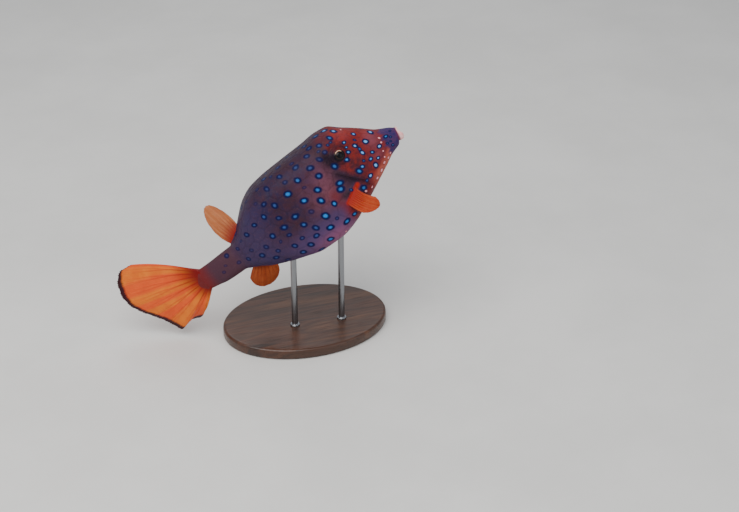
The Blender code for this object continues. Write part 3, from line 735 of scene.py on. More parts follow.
def distance_to_line(points, line):
    """Each point's distance to the nearest stretch of a line of points."""
    best = np.full(points.shape[:-1], FAR_AWAY)
    for start, end in zip(line[:-1], line[1:]):
        run = end - start
        share = np.clip(((points - start) @ run) / (run @ run), 0, 1)
        best = np.minimum(best, np.linalg.norm(points - (start + share[..., None] * run), axis=-1))
    return best


right_side = grid.copy()
right_side[..., 1] = -np.abs(right_side[..., 1])  # both flanks are worked out as the right one
gill_away = distance_to_line(right_side, gill_line)
slit_middle = gill_line[12]
past_slit = slit_middle[0] - right_side[..., 0] + (right_side[..., 2] - slit_middle[2]) * 0.7
lift -= GILL_CUT * bell(gill_away, 0.75 * MM)
lift += GILL_FOLD * bell(gill_away, 3.0 * MM) * (0.5 + 0.5 * smooth_step(0, 3 * MM, past_slit))
print("nearest point to the gill slit:", round(float(gill_away.min()) * 1000, 2), "mm")

# %% Nostrils, and the muscle of the pectoral fin
MUSCLE_RISE = 1.0 * MM
for nostril in nostrils:
    away = np.linalg.norm(right_side - nostril, axis=-1)
    lift += 0.35 * MM * bell(away - 1.3 * MM, 0.6 * MM) - 0.8 * MM * bell(away, 0.75 * MM)
muscle_run = muscle_line[1] - muscle_line[0]
muscle_share = np.clip(((right_side - muscle_line[0]) @ muscle_run) / (muscle_run @ muscle_run), 0, 1)
muscle_reach = (1.8 + 1.8 * muscle_share**0.7) * MM
muscle = bell(distance_to_line(right_side, muscle_line), muscle_reach)
lift += MUSCLE_RISE * muscle * (0.5 + 0.5 * smooth_step(0, 0.35, muscle_share))
print("with the head, relief from", round(lift.min() * 1000, 2), "to", round(lift.max() * 1000, 2), "mm")

# %% [markdown]
# The eye needs more than relief along the normal. Round it the skin rises into a soft rim, thicker over the eye
# where the brow shades it, then turns in over the ball as a thin lid, and behind the ball it drops out of sight. The
# height of the skin is set directly, measured out from the flank along the eye's own axis, because relief along the
# normals would fold where the lid turns in.

# %% Rims and lids of the eyes
LID_RADIUS, LID_CATCH, LID_GAP, LID_THICK = 5.7 * MM, 0.32 * MM, 0.3 * MM, 0.45 * MM
EYE_REACH, BEHIND_BALL, NO_EYE = 13 * MM, -3.0 * MM, 1.0
mirror = np.array((1, -1, 1))
skin = grid + normals * lift[..., None]
eye_away = np.full((rows, AROUND), NO_EYE)
offsets = [(skin - eye_flank, np.ones(3)), (skin * mirror - eye_flank, mirror)]
for offset, side in offsets:
    height = offset @ eye_out
    across = offset - height[..., None] * eye_out
    away = np.linalg.norm(across, axis=-1)
    away = np.where(np.abs(height) < 12 * MM, away, NO_EYE)
    brow = np.clip((across @ eye_up) / np.maximum(away, 1e-9), 0, 1) ** 1.5
    lid_edge = LID_RADIUS - 0.8 * MM * brow
    on_edge = np.abs(away - lid_edge) < LID_CATCH
    moved = np.where(on_edge[..., None], across * ((lid_edge / np.maximum(away, 1e-9))[..., None] - 1), 0)
    rim = (0.6 + 0.8 * brow) * MM * bell(away - 7.3 * MM, 1.5 * MM)
    open_height = height + rim - 0.35 * MM * bell(away - 10.0 * MM, 0.8 * MM)
    ball_height = np.sqrt(np.maximum(EYE_RADIUS**2 - away**2, 0)) - EYE_SINK
    lid_height = np.maximum(ball_height + LID_THICK, height * 0.4 + rim)
    new_height = open_height + (lid_height - open_height) * smooth_step(8.0 * MM, 6.2 * MM, away)
    edge_height = np.sqrt(EYE_RADIUS**2 - lid_edge**2) - EYE_SINK + LID_GAP
    new_height = np.where(on_edge, edge_height, new_height)
    new_height = np.where((away < lid_edge) & ~on_edge, BEHIND_BALL, new_height)
    near_eye = away < EYE_REACH
    change = np.where(near_eye, new_height - height, 0)[..., None] * eye_out + moved * near_eye[..., None]
    skin += change * side
    eye_away = np.minimum(eye_away, away)
print("points of skin round the eyes:", int((eye_away < EYE_REACH).sum()))


# %% [markdown]
# ## Where the skin falls in the photograph
#
# The markings are placed by what the photograph shows. Every point of the right flank is looked up in the picture, as
# so many millimetres forward of the tail's root and so many above the fish's axis. Marks can then be written down in
# the same measure. The left flank takes the mirror image of it.

# %% The skin in the picture's measure
PHOTO_SIZE = (739, 512)
AXIS_WAY = (0.8, -0.6)  # how the fish's axis runs across the picture, right and down
PIXELS_PER_MM, AXIS_START, AXIS_DROP = 1.05, 4, 349
other_side = (-np.arange(AROUND)) % AROUND
left = turns > PLATES_ROUND / 2


def as_on_the_right(values):
    """Gives each point of the left flank the value of its mirror point on the right."""
    return np.where(left, values[:, other_side], values)


from_aim = to_stand(tail_bent(grid)) - np.array(aim)
nearness = VIEW_DISTANCE / (VIEW_DISTANCE - from_aim @ np.array(camera_back)) * PHOTO_SIZE[0] / PHOTO_WIDTH_AT_FISH
pixel_x = PHOTO_SIZE[0] / 2 + from_aim @ np.array(camera_right) * nearness
pixel_y = PHOTO_SIZE[1] / 2 - from_aim @ np.array(camera_up) * nearness
seen_x = as_on_the_right((AXIS_WAY[0] * pixel_x + AXIS_WAY[1] * pixel_y + AXIS_START) / PIXELS_PER_MM)
seen_up = as_on_the_right((AXIS_DROP + AXIS_WAY[1] * pixel_x - AXIS_WAY[0] * pixel_y) / PIXELS_PER_MM)
facing = as_on_the_right(normals @ np.array(TO_STAND.to_3x3()).T @ np.array(camera_back))
print("flank seen from", round(float(seen_up[facing > 0].min())), "to", round(float(seen_up[facing > 0].max())), "mm")

# %% [markdown]
# ## Spots
#
# Adult boxfish carry a blue spot on most plates, ringed in navy, and smaller or fainter ones between. The spots of
# the flank are listed: how far forward, how high, the radius of the light core and how bright it is. Along the lower
# edge of the cheek, and here and there elsewhere, small pinkish-white spots are painted highlights, where blue spots
# catch the light. The back and the belly, which the photograph doesn't show, get spots from the honeycomb, nudged by
# a seeded generator, wherever there is room. A cell pattern in the material would be quicker, but no spot would lie
# where the photograph shows one.

# %% Spots of the flank, in millimetres
SHELL_SPOTS = (
    (42.5, 7, 1.3, 0.3), (45, -7, 1.4, 0.35), (49.5, 11, 1.0, 0.2), (52.5, -2, 1.3, 0.25), (57.3, 12.5, 1.6, 0.5),
    (57.5, -12, 1.7, 0.5), (65.5, -8, 1.5, 0.35), (67, -21.7, 1.6, 0.5), (69, 15.5, 1.5, 0.65),
    (72.5, -17.5, 1.2, 0.35), (75, -30, 1.5, 0.35), (76.5, -3.5, 1.7, 0.65), (80.7, 16.5, 1.6, 0.7),
    (79.5, -12, 1.0, 0.25), (76, 38, 1.3, 0.2), (82, 31, 1.2, 0.15), (88, 26.3, 1.6, 0.5), (88, -23.5, 1.5, 0.55),
    (90, -3.2, 1.9, 0.7), (90, -12, 1.3, 0.4), (90.8, -33, 1.7, 0.7), (91.5, 7, 1.5, 0.45), (91.5, 41, 1.2, 0.2),
    (95.3, 19, 1.8, 0.7), (99, 36, 1.7, 0.4), (98, -22, 1.3, 0.4), (101, -32, 1.7, 0.6), (102, 47.5, 1.7, 0.5),
    (105, -1, 2.0, 0.75), (107, -12.4, 1.8, 0.75), (106.5, -41.5, 1.8, 0.6), (109, 43, 1.1, 0.3),
    (110.5, -28, 1.6, 0.6), (112.3, 19.8, 2.2, 0.9), (114.3, -21.6, 1.8, 0.65), (115.5, 38, 1.6, 0.5),
    (116.5, 30.7, 1.4, 0.35), (119, -39, 1.9, 0.88), (119.5, 49.5, 1.7, 0.4), (120, -7, 1.5, 0.25),
    (120.8, 5.4, 2.1, 0.92), (125.5, -29.7, 1.9, 0.86), (127.5, 24.8, 1.9, 0.8), (128.5, 15.7, 1.1, 0.2),
    (128.5, -17.8, 2.3, 0.92), (132.5, 41, 1.4, 0.25), (133.3, 35.8, 1.8, 0.5), (133.7, -4.2, 2.1, 0.93),
    (136, -26.5, 1.1, 0.35), (137, 6.4, 2.0, 0.85), (141.5, -34.6, 2.0, 0.9), (142.3, -13.6, 1.7, 0.93),
    (144, 26.7, 1.9, 0.6), (146, 16, 1.9, 0.75), (148, 38.2, 1.6, 0.45), (152, 48.2, 1.7, 0.5),
    (154.5, 43, 1.7, 0.45), (156, 28, 1.6, 0.4), (159.7, 35, 1.0, 0.3), (164, 31, 1.4, 0.35), (30.5, 8, 1.5, 0.35),
    (19, -3, 1.1, 0.15), (36, -4, 1.2, 0.2), (24, 1, 0.9, 0.12),
)
HEAD_SPOTS = (
    (151.7, -33.3, 1.5, 0.92), (155.5, -6.2, 2.2, 0.84), (158, -1.3, 2.1, 0.84), (162.7, -13, 1.1, 0.6),
    (163.5, 14.6, 2.0, 0.78), (163.8, 39.3, 1.6, 0.65), (166, 51, 2.0, 0.7), (170.7, 34.4, 1.0, 0.5),
    (174.3, 35.3, 0.9, 0.5), (173.5, -18.4, 2.0, 0.82), (176, 39, 1.7, 0.8), (176, 48.5, 1.9, 0.97),
    (176.8, 12.5, 1.7, 0.95), (180, -3.3, 2.0, 0.88), (180.5, -14.8, 1.1, 0.7), (183, 41.8, 1.9, 0.97),
    (182.2, 17.8, 1.4, 0.95), (183.4, 22.3, 0.9, 0.95), (184.5, 27.4, 1.3, 0.97), (184.7, -1.7, 1.4, 0.95),
    (186, -13.3, 1.6, 1.0), (189, 2, 1.0, 0.7), (191, 18.6, 1.6, 1.0), (192.7, 8.9, 1.6, 1.0),
    (192.7, 13.2, 1.2, 0.75), (193.8, 23, 0.9, 0.5), (195.5, -0.6, 1.4, 0.95), (195.7, -8, 1.8, 1.0),
    (196.3, 28.3, 1.4, 0.97), (200.5, 3.7, 1.3, 0.95), (201.5, -4.1, 1.2, 1.0), (201.5, 15.9, 1.9, 1.0),
    (209, 4.1, 1.5, 1.0), (210.3, 20.2, 1.8, 1.0), (220, 8, 1.3, 0.93), (223, 5, 0.8, 0.6), (220.5, -2.5, 1.0, 0.7),
    (217, 2, 0.8, 0.6), (226, 10, 0.8, 0.5), (221, 1.5, 0.7, 0.55),
)
# Small pinkish-white spots, mostly along the lower edge of the cheek: painted highlights, where blue spots catch the
# light.
HIGHLIGHT_SPOTS = (
    (135.5, -43, 0.9, 0.5), (173.7, -22.6, 1.2, 0.9), (180.7, -22.6, 1.2, 0.9), (189.7, -18.9, 1.6, 1.0),
    (197.5, -15.4, 1.6, 1.0), (203.7, -11.2, 1.4, 1.0), (210, -9.8, 1.2, 0.9), (213.8, -7.3, 1.0, 1.0),
    (207, -7, 0.9, 0.9), (209.5, -1.6, 0.8, 0.7), (212.7, 6.1, 0.9, 0.9), (213.7, 10.8, 1.1, 0.9),
    (189.5, 40, 0.8, 0.7),
)
print("spots on a flank:", len(SHELL_SPOTS) + len(HEAD_SPOTS) + len(HIGHLIGHT_SPOTS))

# %% Spots of both flanks, in the fish's own axes
CLEARLY_SEEN, HARDLY_SEEN = 0.32, 0.22  # how squarely the skin faces the camera, from 0 to 1
rng = random.Random(48)
# A spot's last entry says whether it is one painted pinkish-white as a highlight.
spots = []  # centre, radius of the core in metres, brightness, pale or not
right_half = (turns < PLATES_ROUND / 2) & (facing > CLEARLY_SEEN)
candidates, candidate_x, candidate_up = grid[right_half], seen_x[right_half], seen_up[right_half]
for x, up, size, tone, painted_highlight in [(*row, 0) for row in SHELL_SPOTS + HEAD_SPOTS] + [(*row, 1) for row in HIGHLIGHT_SPOTS]:
    centre = candidates[np.argmin((candidate_x - x) ** 2 + (candidate_up - up) ** 2)]
    spots.append((tuple(centre), size * MM, tone, painted_highlight))
    nudge = np.array((rng.uniform(-1.2, 1.2), 0, rng.uniform(-1.2, 1.2))) * MM
    mirrored = centre * mirror + nudge
    left_size, left_tone = size * MM * rng.uniform(0.85, 1.12), min(1, tone * rng.uniform(0.88, 1.04))
    spots.append((tuple(mirrored), left_size, left_tone, painted_highlight))
print("spots on both flanks:", len(spots))


# %% Spots of the back and the belly, one on each plate
def crowded(centre, room):
    return any(math.dist(centre, spot[0]) < room for spot in spots)


for column in range(PLATE_COLUMNS):
    for row in range(PLATES_ROUND):
        turn = row + (column % 2) / 2 + rng.uniform(-0.3, 0.3)
        x = float(np.interp(column + rng.uniform(-0.3, 0.3), COLUMN_AT, STATION_AT))
        centre = tuple(body_ring(x, [turn])[0])
        half_round = PLATES_ROUND / 2
        on_back, on_belly = abs((turn + half_round) % PLATES_ROUND - half_round) < 2.9, abs(turn - half_round) < 2.6
        nearest_row = np.argmin(np.abs(grid[:, 0, 0] - x))
        nearest_point = round(turn / PLATES_ROUND * AROUND) % AROUND
        hidden = facing[nearest_row, nearest_point] < HARDLY_SEEN
        if (on_back or on_belly) and hidden and not crowded(centre, max(6.5 * MM, 0.8 * float(plate_width(x)))):
            size = rng.uniform(1.1, 1.7) * MM
            spots.append((centre, size, rng.uniform(0.35, 0.7) if on_back else rng.uniform(0.3, 0.8), 0))
print("spots in all:", len(spots))

# %% [markdown]
# A spot is painted as a distance: every point of the skin is told how many core radii it lies from the nearest spot,
# and how bright that spot is. The material turns the distance into rings. Spots are a little oval and each leans its
# own way, and near the back's edge they are drawn taller, because the camera sees them there at a slant.

# %% Distance to the nearest spot
spot_away, highlight_away = np.full((rows, AROUND), FAR_AWAY), np.full((rows, AROUND), FAR_AWAY)
spot_tone = np.zeros((rows, AROUND))
for centre, size, tone, painted_highlight in spots:
    near = np.where(np.abs(grid[:, 0, 0] - centre[0]) < 4 * size)[0]
    if len(near) == 0:
        continue
    block = slice(near[0], near[-1] + 1)
    offset = grid[block] - centre
    nearest = np.unravel_index(np.argmin((offset**2).sum(axis=-1)), offset.shape[:2])
    out_of_skin = normals[block][nearest]
    forward = np.array((1, 0, 0)) - out_of_skin * out_of_skin[0]
    forward /= np.linalg.norm(forward)
    downward = np.cross(out_of_skin, forward) * (1 if out_of_skin[1] > 0 else -1)
    taller = 1.5 - 0.5 * smooth_step(0.3, 0.7, facing[block][nearest]) if centre[2] > 25 * MM else 1
    lean, stretch = rng.gauss(0.55, 0.35), rng.uniform(1.06, 1.24)
    fore_and_aft, up_and_down = offset @ forward, offset @ downward / taller
    long_way = fore_and_aft * math.cos(lean) + up_and_down * math.sin(lean)
    short_way = up_and_down * math.cos(lean) - fore_and_aft * math.sin(lean)
    away = np.sqrt((long_way / stretch) ** 2 + (short_way * stretch) ** 2 + (offset @ out_of_skin) ** 2) / size
    if painted_highlight:
        highlight_away[block] = np.minimum(highlight_away[block], away)
        continue
    closer = away < spot_away[block]
    spot_away[block] = np.where(closer, away, spot_away[block])
    spot_tone[block] = np.where(closer, tone, spot_tone[block])
for away in (spot_away, highlight_away):
    away[eye_away < 6.2 * MM] = FAR_AWAY
    away[lip_start_row + 4 :] = FAR_AWAY
print("points inside a spot:", int((spot_away < 1).sum()))

# %% [markdown]
# ## Colour as painted masks
#
# The photograph shows a purple-brown body, a crimson to orange face between muzzle, eye and pectoral fin, a dark
# indigo muzzle with pale lips, a pinkish edge to the lower flank and a dark red root of the tail. Black patches lie
# behind and under the eye and over the root of the pectoral fin. They are partly dark skin and partly painted shade
# under the brow, in the gill slit and under the pectoral fin. Each area is a mask, a number from 0 to 1 on every
# point of the skin. The material mixes its colours by these masks, so an edge can be moved without touching colours.

# %% Masks of the body
masks = {"spot": spot_away, "spot_tone": spot_tone, "pale_spot": highlight_away, "groove": groove}


def blobs(*patches):
    """Soft oval patches on both flanks, added up. Each is its place and reach forward and up, and its strength."""
    total = 0
    for x, up, reach_x, reach_up, strength in patches:
        total = total + np.exp(-(((seen_x - x) / reach_x) ** 2) - ((seen_up - up) / reach_up) ** 2) * strength
    return np.clip(total, 0, 1)


masks["low"] = smooth_step(-6, -32, seen_up) * smooth_step(60, 95, seen_x)
masks["rear"] = smooth_step(95, 60, seen_x)
masks["back"] = np.tile(smooth_step(3.5, 0.5, np.minimum(turns, PLATES_ROUND - turns)), (rows, 1))
masks["fore"] = blobs((148, 8, 13, 20, 1), (134, -8, 13, 14, 0.6), (125, 12, 9, 18, 0.35))
masks["pink"] = blobs((128, -41, 26, 8, 1))
masks["flush"] = blobs((147, -11, 6, 9, 0.55), (152, -29, 6, 10, 0.95), (170, 45, 8, 6, 0.5), (171, 32, 5, 5, 1))
masks["tail_root"] = smooth_step(14 * MM, -1 * MM, grid[..., 0])
masks["stem"] = smooth_step(50 * MM, 32 * MM, grid[..., 0])
print("masks of the body:", ", ".join(masks))

# %% Masks of the head
FACE_EDGE = (
    # height, and how far forward the face starts there
    (-45, 150), (-30, 152), (-20, 172), (-8, 176), (0, 170), (10, 166), (18, 172), (30, 174), (40, 176), (52, 176),
)
JAW_EDGE = ((171, -27.4), (182.5, -22.9), (194, -17.1), (205, -12.4), (215, -6.1))  # forward, and the lowest skin seen
MUZZLE_SLANT = 0.12
face_from = np.interp(seen_up, *zip(*FACE_EDGE))
along_muzzle = seen_x - MUZZLE_SLANT * seen_up
tongues = 1.3 * np.sin(seen_up * 0.9 + 1.0) + 0.8 * np.sin(seen_up * 2.1)
over_jaw = seen_up - np.interp(seen_x, *zip(*JAW_EDGE))
masks["face"] = smooth_step(-4, 5, seen_x - face_from) * smooth_step(219.5, 214, along_muzzle)
masks["muzzle"] = smooth_step(212.5, 218.5, along_muzzle + tongues)
masks["dark_face"] = blobs((180, 4, 11, 12, 1), (186, 22, 5, 5, 0.6), (174, 29.5, 8, 5, 1))
masks["hot_face"] = blobs((187, 36, 8, 7, 1), (193, -15, 12, 4, 0.6), (206, 20, 6, 6, 0.6))
masks["mauve"] = blobs((207, 14, 7, 9, 1), (203, -2, 7, 5, 0.6))
jaw_in_sight = 0.4 + 0.6 * smooth_step(-0.1, 0.35, facing)
masks["jaw"] = smooth_step(7, 1, over_jaw) * smooth_step(180, 194, seen_x) * jaw_in_sight
print("masks of the head added")

# %% [markdown]
# The darkest colour lies round the eye, along the gill slit and above the root of the pectoral fin. It is partly dark
# skin and partly painted shade: shade under the brow round the eye, in the gill slit, and the shadow of the pectoral
# fin. These patches are laid over each other by taking the darker one, so that they join without growing darker
# where they meet. The red bar of muscle that carries the pectoral fin is a short line with soft edges.

# %% Dark patches with painted shade, and the bar of the pectoral fin
FIN_BAR, BAR_REACH = ((170.5, -12.5, 0), (153.5, -21.5, 0)), 2.5
EYE_SHADE = 8.4 * MM
ragged = 1 + 0.25 * np.sin(seen_x * 1.1 + 0.6 * seen_up) + 0.15 * np.sin(seen_up * 2.3 - seen_x)
# Dark skin mixed with painted shade: patches behind and under the eye, the gill slit's shade, shade round the eye
# under the brow, and the shadow under the root of the pectoral fin.
dark_skin_and_shade = (
    blobs((162, 27, 5, 6, 0.8), (167, 20, 7, 5, 1), (174, 17, 6, 4, 1), (162, 20, 6, 7, 0.5)),
    0.8 * bell(gill_away, 4.4 * MM),
    0.65 * bell(eye_away - EYE_SHADE, 2.1 * MM * ragged),
    *(blobs(patch) for patch in ((158, -14.5, 8, 3.2, 0.95), (171, -23, 2.5, 5, 0.8))),
    *(blobs(patch) for patch in ((171, 30.5, 6, 3.5, 0.5), (179, 18, 4, 4, 0.5))),
)
masks["dark"] = np.max(dark_skin_and_shade, axis=0)
flank_place = np.stack((seen_x, seen_up, np.zeros_like(seen_x)), -1)
masks["fin_root"] = np.exp(-((distance_to_line(flank_place, np.array(FIN_BAR)) / BAR_REACH) ** 4))

# %% Masks of the mouth, which go by the rows of the skin
from_lips = np.arange(rows) - lip_start_row
for name, by_row in (
    ("lip", smooth_step(1, 9, from_lips)),
    ("lip_edge", bell(from_lips - 1, 3.2)),
    # the inside of the mouth, darkened as painted shade
    ("mouth", smooth_step(LIP_ROWS * 0.62, LIP_ROWS * 0.74, from_lips)),
):
    masks[name] = np.tile(by_row[:, None], AROUND)
print("all masks:", ", ".join(masks))

# %% [markdown]
# ## From arrays to a mesh
#
# Half a million points are too many to add one by one, so meshes are filled from whole arrays. The skin, the eyes,
# the base and the rods are all stacks of rings that close at a point at either end, and share one way to find their
# faces.

# %% Building a mesh from arrays
def mesh_of(name, points, quads, values=None, triangles=()):
    """A mesh object from arrays of points and faces, with painted values on its points."""
    mesh = bpy.data.meshes.new(name)
    corners = np.concatenate([np.asarray(faces, np.int32).reshape(-1) for faces in (quads, triangles)])
    sizes = np.repeat(np.array((4, 3), np.int32), (len(quads), len(triangles)))
    mesh.vertices.add(len(points))
    mesh.vertices.foreach_set("co", np.asarray(points, np.float32).reshape(-1))
    mesh.loops.add(len(corners))
    mesh.loops.foreach_set("vertex_index", corners)
    mesh.polygons.add(len(sizes))
    mesh.polygons.foreach_set("loop_start", (np.cumsum(sizes) - sizes).astype(np.int32))
    mesh.polygons.foreach_set("loop_total", sizes)
    mesh.update(calc_edges=True)
    mesh.validate()
    for key, value in (values or {}).items():
        attribute = mesh.attributes.new(key, "FLOAT", "POINT")
        attribute.data.foreach_set("value", np.asarray(value, np.float32).reshape(-1))
    bm = bmesh.new()
    bm.from_mesh(mesh)
    bmesh.ops.recalc_face_normals(bm, faces=bm.faces)
    if bm.calc_volume(signed=True) < 0:
        bmesh.ops.reverse_faces(bm, faces=bm.faces)
    bm.to_mesh(mesh)
    bm.free()
    mesh.shade_smooth()
    obj = bpy.data.objects.new(name, mesh)
    bpy.context.scene.collection.objects.link(obj)
    return obj


def mesh_of_rings(name, rings, first_pole, last_pole, values=None):
    """A closed mesh from a stack of rings with a single point at either end."""
    count, around = len(rings), len(rings[0])
    points = np.concatenate((np.reshape(rings, (-1, 3)), (first_pole, last_pole)))
    row, column = np.meshgrid(np.arange(count - 1), np.arange(around), indexing="ij")
    here, beside = row * around + column, row * around + (column + 1) % around
    quads = np.stack((here, beside, beside + around, here + around), -1).reshape(-1, 4)
    step, after, last = np.arange(around), (np.arange(around) + 1) % around, (count - 1) * around
    first_fan = np.stack((np.full(around, count * around), after, step), -1)
    last_fan = np.stack((np.full(around, count * around + 1), last + step, last + after), -1)
    return mesh_of(name, points, quads, values, np.concatenate((first_fan, last_fan)))


# %% The skin itself
skin = to_stand(tail_bent(skin))
NOWHERE_NEAR = 9  # core radii, for the two end points, which carry no spot
end_values = {"spot": (NOWHERE_NEAR, NOWHERE_NEAR), "pale_spot": (NOWHERE_NEAR, NOWHERE_NEAR), "mouth": (0, 1)}
skin_values = {name: np.append(mask, end_values.get(name, (0, 0))) for name, mask in masks.items()}
body_skin = mesh_of_rings("body_skin", skin, skin[0].mean(axis=0), skin[-1].mean(axis=0), skin_values)
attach(body_skin, "root")
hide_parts("head", "snout", "lip_upper", "lip_lower", "carapace", "caudal_peduncle")
print("skin:", len(body_skin.data.polygons), "faces")

# %% [markdown]
# ## The skin's finish
#
# Wet fish skin is a dark, slightly cloudy layer under a thin film. The base colour is built in layers, from the large
# areas down to the spots. A little subsurface light softens it, and a faint coat leaves it barely wet, because a
# stronger one would put glare on the ridge of the back. Each spot is a small picture by itself: a light blue heart, a
# deep blue body and a navy ring that fades out.

# %% Colours of the body and the head
skin_finish, tree, shader = new_material("spotted_skin")
where = object_points(tree)
wide_cloud = use_group(tree, cloud_group, Place=where, Size=38.0, Low=0.35, High=0.68)
small_cloud = use_group(tree, cloud_group, Place=where, Size=170.0, Low=0.35, High=0.7)
mottle = use_group(tree, cloud_group, Place=where, Size=300.0, Low=0.5, High=0.72)
speck = use_group(tree, cloud_group, Place=where, Size=520.0, Low=0.5, High=0.75)


def layer(tree, below, mask, strength, tint):
    """Lays a colour over the one below. The mask is a painted one's name, or a node's output."""
    mask = painted(tree, mask) if isinstance(mask, str) else mask
    return mix_colour(tree, calc(tree, "MULTIPLY", mask, strength), below, rgb(*tint))


BODY_LAYERS = (
    # mask, strength, colour
    ("fore", 0.85, (108, 62, 78)),
    (small_cloud, 0.55, (66, 34, 44)),
    ("low", 0.75, (74, 58, 98)),
    ("rear", 0.65, (62, 52, 88)),
    ("back", 0.5, (56, 43, 57)),
    ("pink", 0.85, (136, 78, 110)),
    ("flush", 0.9, (114, 28, 24)),
    ("stem", 0.8, (76, 46, 52)),
)
FACE_LAYERS = (
    ("dark_face", 0.85, (54, 25, 36)),
    ("hot_face", 0.8, (144, 58, 60)),
    (small_cloud, 0.6, (140, 40, 28)),
    (mottle, 0.55, (56, 20, 34)),
    ("jaw", 0.75, (188, 92, 74)),
    ("mauve", 0.7, (130, 68, 82)),
)
COVERING_LAYERS = (
    ("tail_root", 0.95, (108, 34, 36)),
    # dark skin, and painted shade under the brow, in the gill slit and under the pectoral fin
    ("dark", 0.86, (24, 13, 27)),
    ("fin_root", 0.95, (162, 32, 8)),
    # painted shade in the grooves between the plates
    ("groove", 0.16, (16, 10, 22)),
    (speck, 0.12, (120, 80, 84)),
)
colour = mix_colour(tree, wide_cloud, rgb(54, 33, 45), rgb(40, 32, 63))
for row in BODY_LAYERS:
    colour = layer(tree, colour, *row)
face_colour = mix_colour(tree, wide_cloud, rgb(118, 33, 33), rgb(86, 27, 38))
for row in FACE_LAYERS:
    face_colour = layer(tree, face_colour, *row)
muzzle_colour = mix_colour(tree, small_cloud, rgb(46, 36, 88), rgb(72, 44, 84))
colour = mix_colour(tree, painted(tree, "face"), colour, face_colour)
colour = mix_colour(tree, painted(tree, "muzzle"), colour, muzzle_colour)
for row in COVERING_LAYERS:
    colour = layer(tree, colour, *row)
print("layers of colour:", len(BODY_LAYERS + FACE_LAYERS + COVERING_LAYERS))

# %% Spots, spots painted as highlights, and lips
SPOT_HEARTS = (
    # how bright the spot is, and the colour of its heart
    (0.15, rgb(42, 38, 88)),
    (0.45, rgb(44, 56, 102)),
    (0.70, rgb(46, 74, 130)),
    (0.93, rgb(40, 122, 198)),
    (1.00, rgb(118, 184, 252)),
)
wobble = calc(tree, "MULTIPLY", calc(tree, "SUBTRACT", small_cloud, 0.5), 0.3)
spot = calc(tree, "ADD", painted(tree, "spot"), wobble)
tone = painted(tree, "spot_tone")
spot_colour = mix_colour(tree, remap(tree, spot, 0.32, 1.1), ramp(tree, tone, SPOT_HEARTS), rgb(8, 12, 60))
spot_mask = calc(tree, "MULTIPLY", remap(tree, spot, 2.2, 1.4), remap(tree, tone, 0.0, 0.5, 0.4, 1.0))
colour = mix_colour(tree, spot_mask, colour, spot_colour)
# Spots painted as highlights: a pinkish-white core in a dark red halo.
painted_highlight = calc(tree, "ADD", painted(tree, "pale_spot"), wobble)
colour = layer(tree, colour, remap(tree, painted_highlight, 1.9, 1.2), 0.5, (70, 22, 40))
colour = mix_colour(tree, remap(tree, painted_highlight, 1.2, 0.7), colour, rgb(240, 160, 168))
colour = layer(tree, colour, "lip_edge", 0.7, (118, 38, 66))
lip_colour = mix_colour(tree, small_cloud, rgb(252, 178, 180), rgb(254, 220, 212))
colour = mix_colour(tree, painted(tree, "lip"), colour, lip_colour)
# The inside of the mouth is painted dark: painted shade.
colour = mix_colour(tree, painted(tree, "mouth"), colour, rgb(40, 12, 16))
print("colours of a spot's heart:", len(SPOT_HEARTS))


# %% Grain and gloss
def bumpy(tree, height, strength, distance):
    """The normal of a surface that a height pattern makes uneven."""
    return place(tree, "ShaderNodeBump", Strength=strength, Distance=distance, Height=height).outputs[0]


grain = use_group(tree, grain_group, Place=where, Pimples=1100.0, Wrinkles=380.0)
set_shader(
    tree,
    shader,
    Base_Color=colour,
    Roughness=remap(tree, small_cloud, 0.0, 1.0, 0.5, 0.66),
    Specular_IOR_Level=0.1,
    Subsurface_Weight=0.05,
    Subsurface_Radius=(0.004, 0.002, 0.001),
    Coat_Weight=0.03,
    Coat_Roughness=0.2,
    Normal=bumpy(tree, grain, 0.3, 0.0004),
)
body_skin.data.materials.append(skin_finish)
print("skin nodes:", len(tree.nodes))

# %% [markdown]
# ## Fins
#
# A boxfish has no spines: every fin is a fan of soft rays joined by a thin membrane, with a fleshy root. A fin is a
# sheet from its first ray to its last. Each ray rises as a rounded rib, is made of short segments, and splits in two
# and then in four on its way out. The rays could be thin tubes laid on a flat sheet. Shaping the sheet itself lets
# them rise out of the flesh and sink into the membrane. The sheet is thickened on both sides and closed at its edge.
# It keeps the solids' roots, lengths and sweep, so it stands exactly where the CAD fin does.

# %% The pattern of the rays
def spread(values, at):
    """Reads a short row of vectors at many places between its first and last."""
    values = np.array(values, float)
    steps = np.linspace(0, 1, len(values))
    return np.stack([np.interp(at, steps, column) for column in values.T], -1)


def rib_pattern(place_across, out):
    """1 on the crest of a ray and 0 between rays. Rays split at a third and again at two thirds of their length."""
    phase = (place_across + 0.5) % 1 - 0.5
    first = 0.17 * smooth_step(0.32, 0.62, out)
    second = 0.075 * smooth_step(0.62, 0.92, out)
    width = 0.105 - 0.055 * smooth_step(0.35, 0.75, out)
    crests = [branch * first + twig * second for branch in (-1, 1) for twig in (-1, 1)]
    return np.max([bell(phase - crest, width) for crest in crests], axis=0)


SAMPLE_WAY = np.linspace(-0.5, 0.5, 201)
for share in (0.2, 0.6, 1.0):
    crest = rib_pattern(SAMPLE_WAY, share) > 0.9
    print("branches of a ray at", share, "of its length:", int((np.diff(crest.astype(int)) == 1).sum()))

# %% A fin's closed sheet
FIN_SINK, FIN_FLESH = 2.5 * MM, 4.5 * MM
MEMBRANE, RAY_HEIGHT, FLESH_REACH = 0.35 * MM, 0.42 * MM, 0.3
SEGMENT, RIPPLE, THIN_EDGE = 1.35 * MM, 0.35 * MM, 0.12


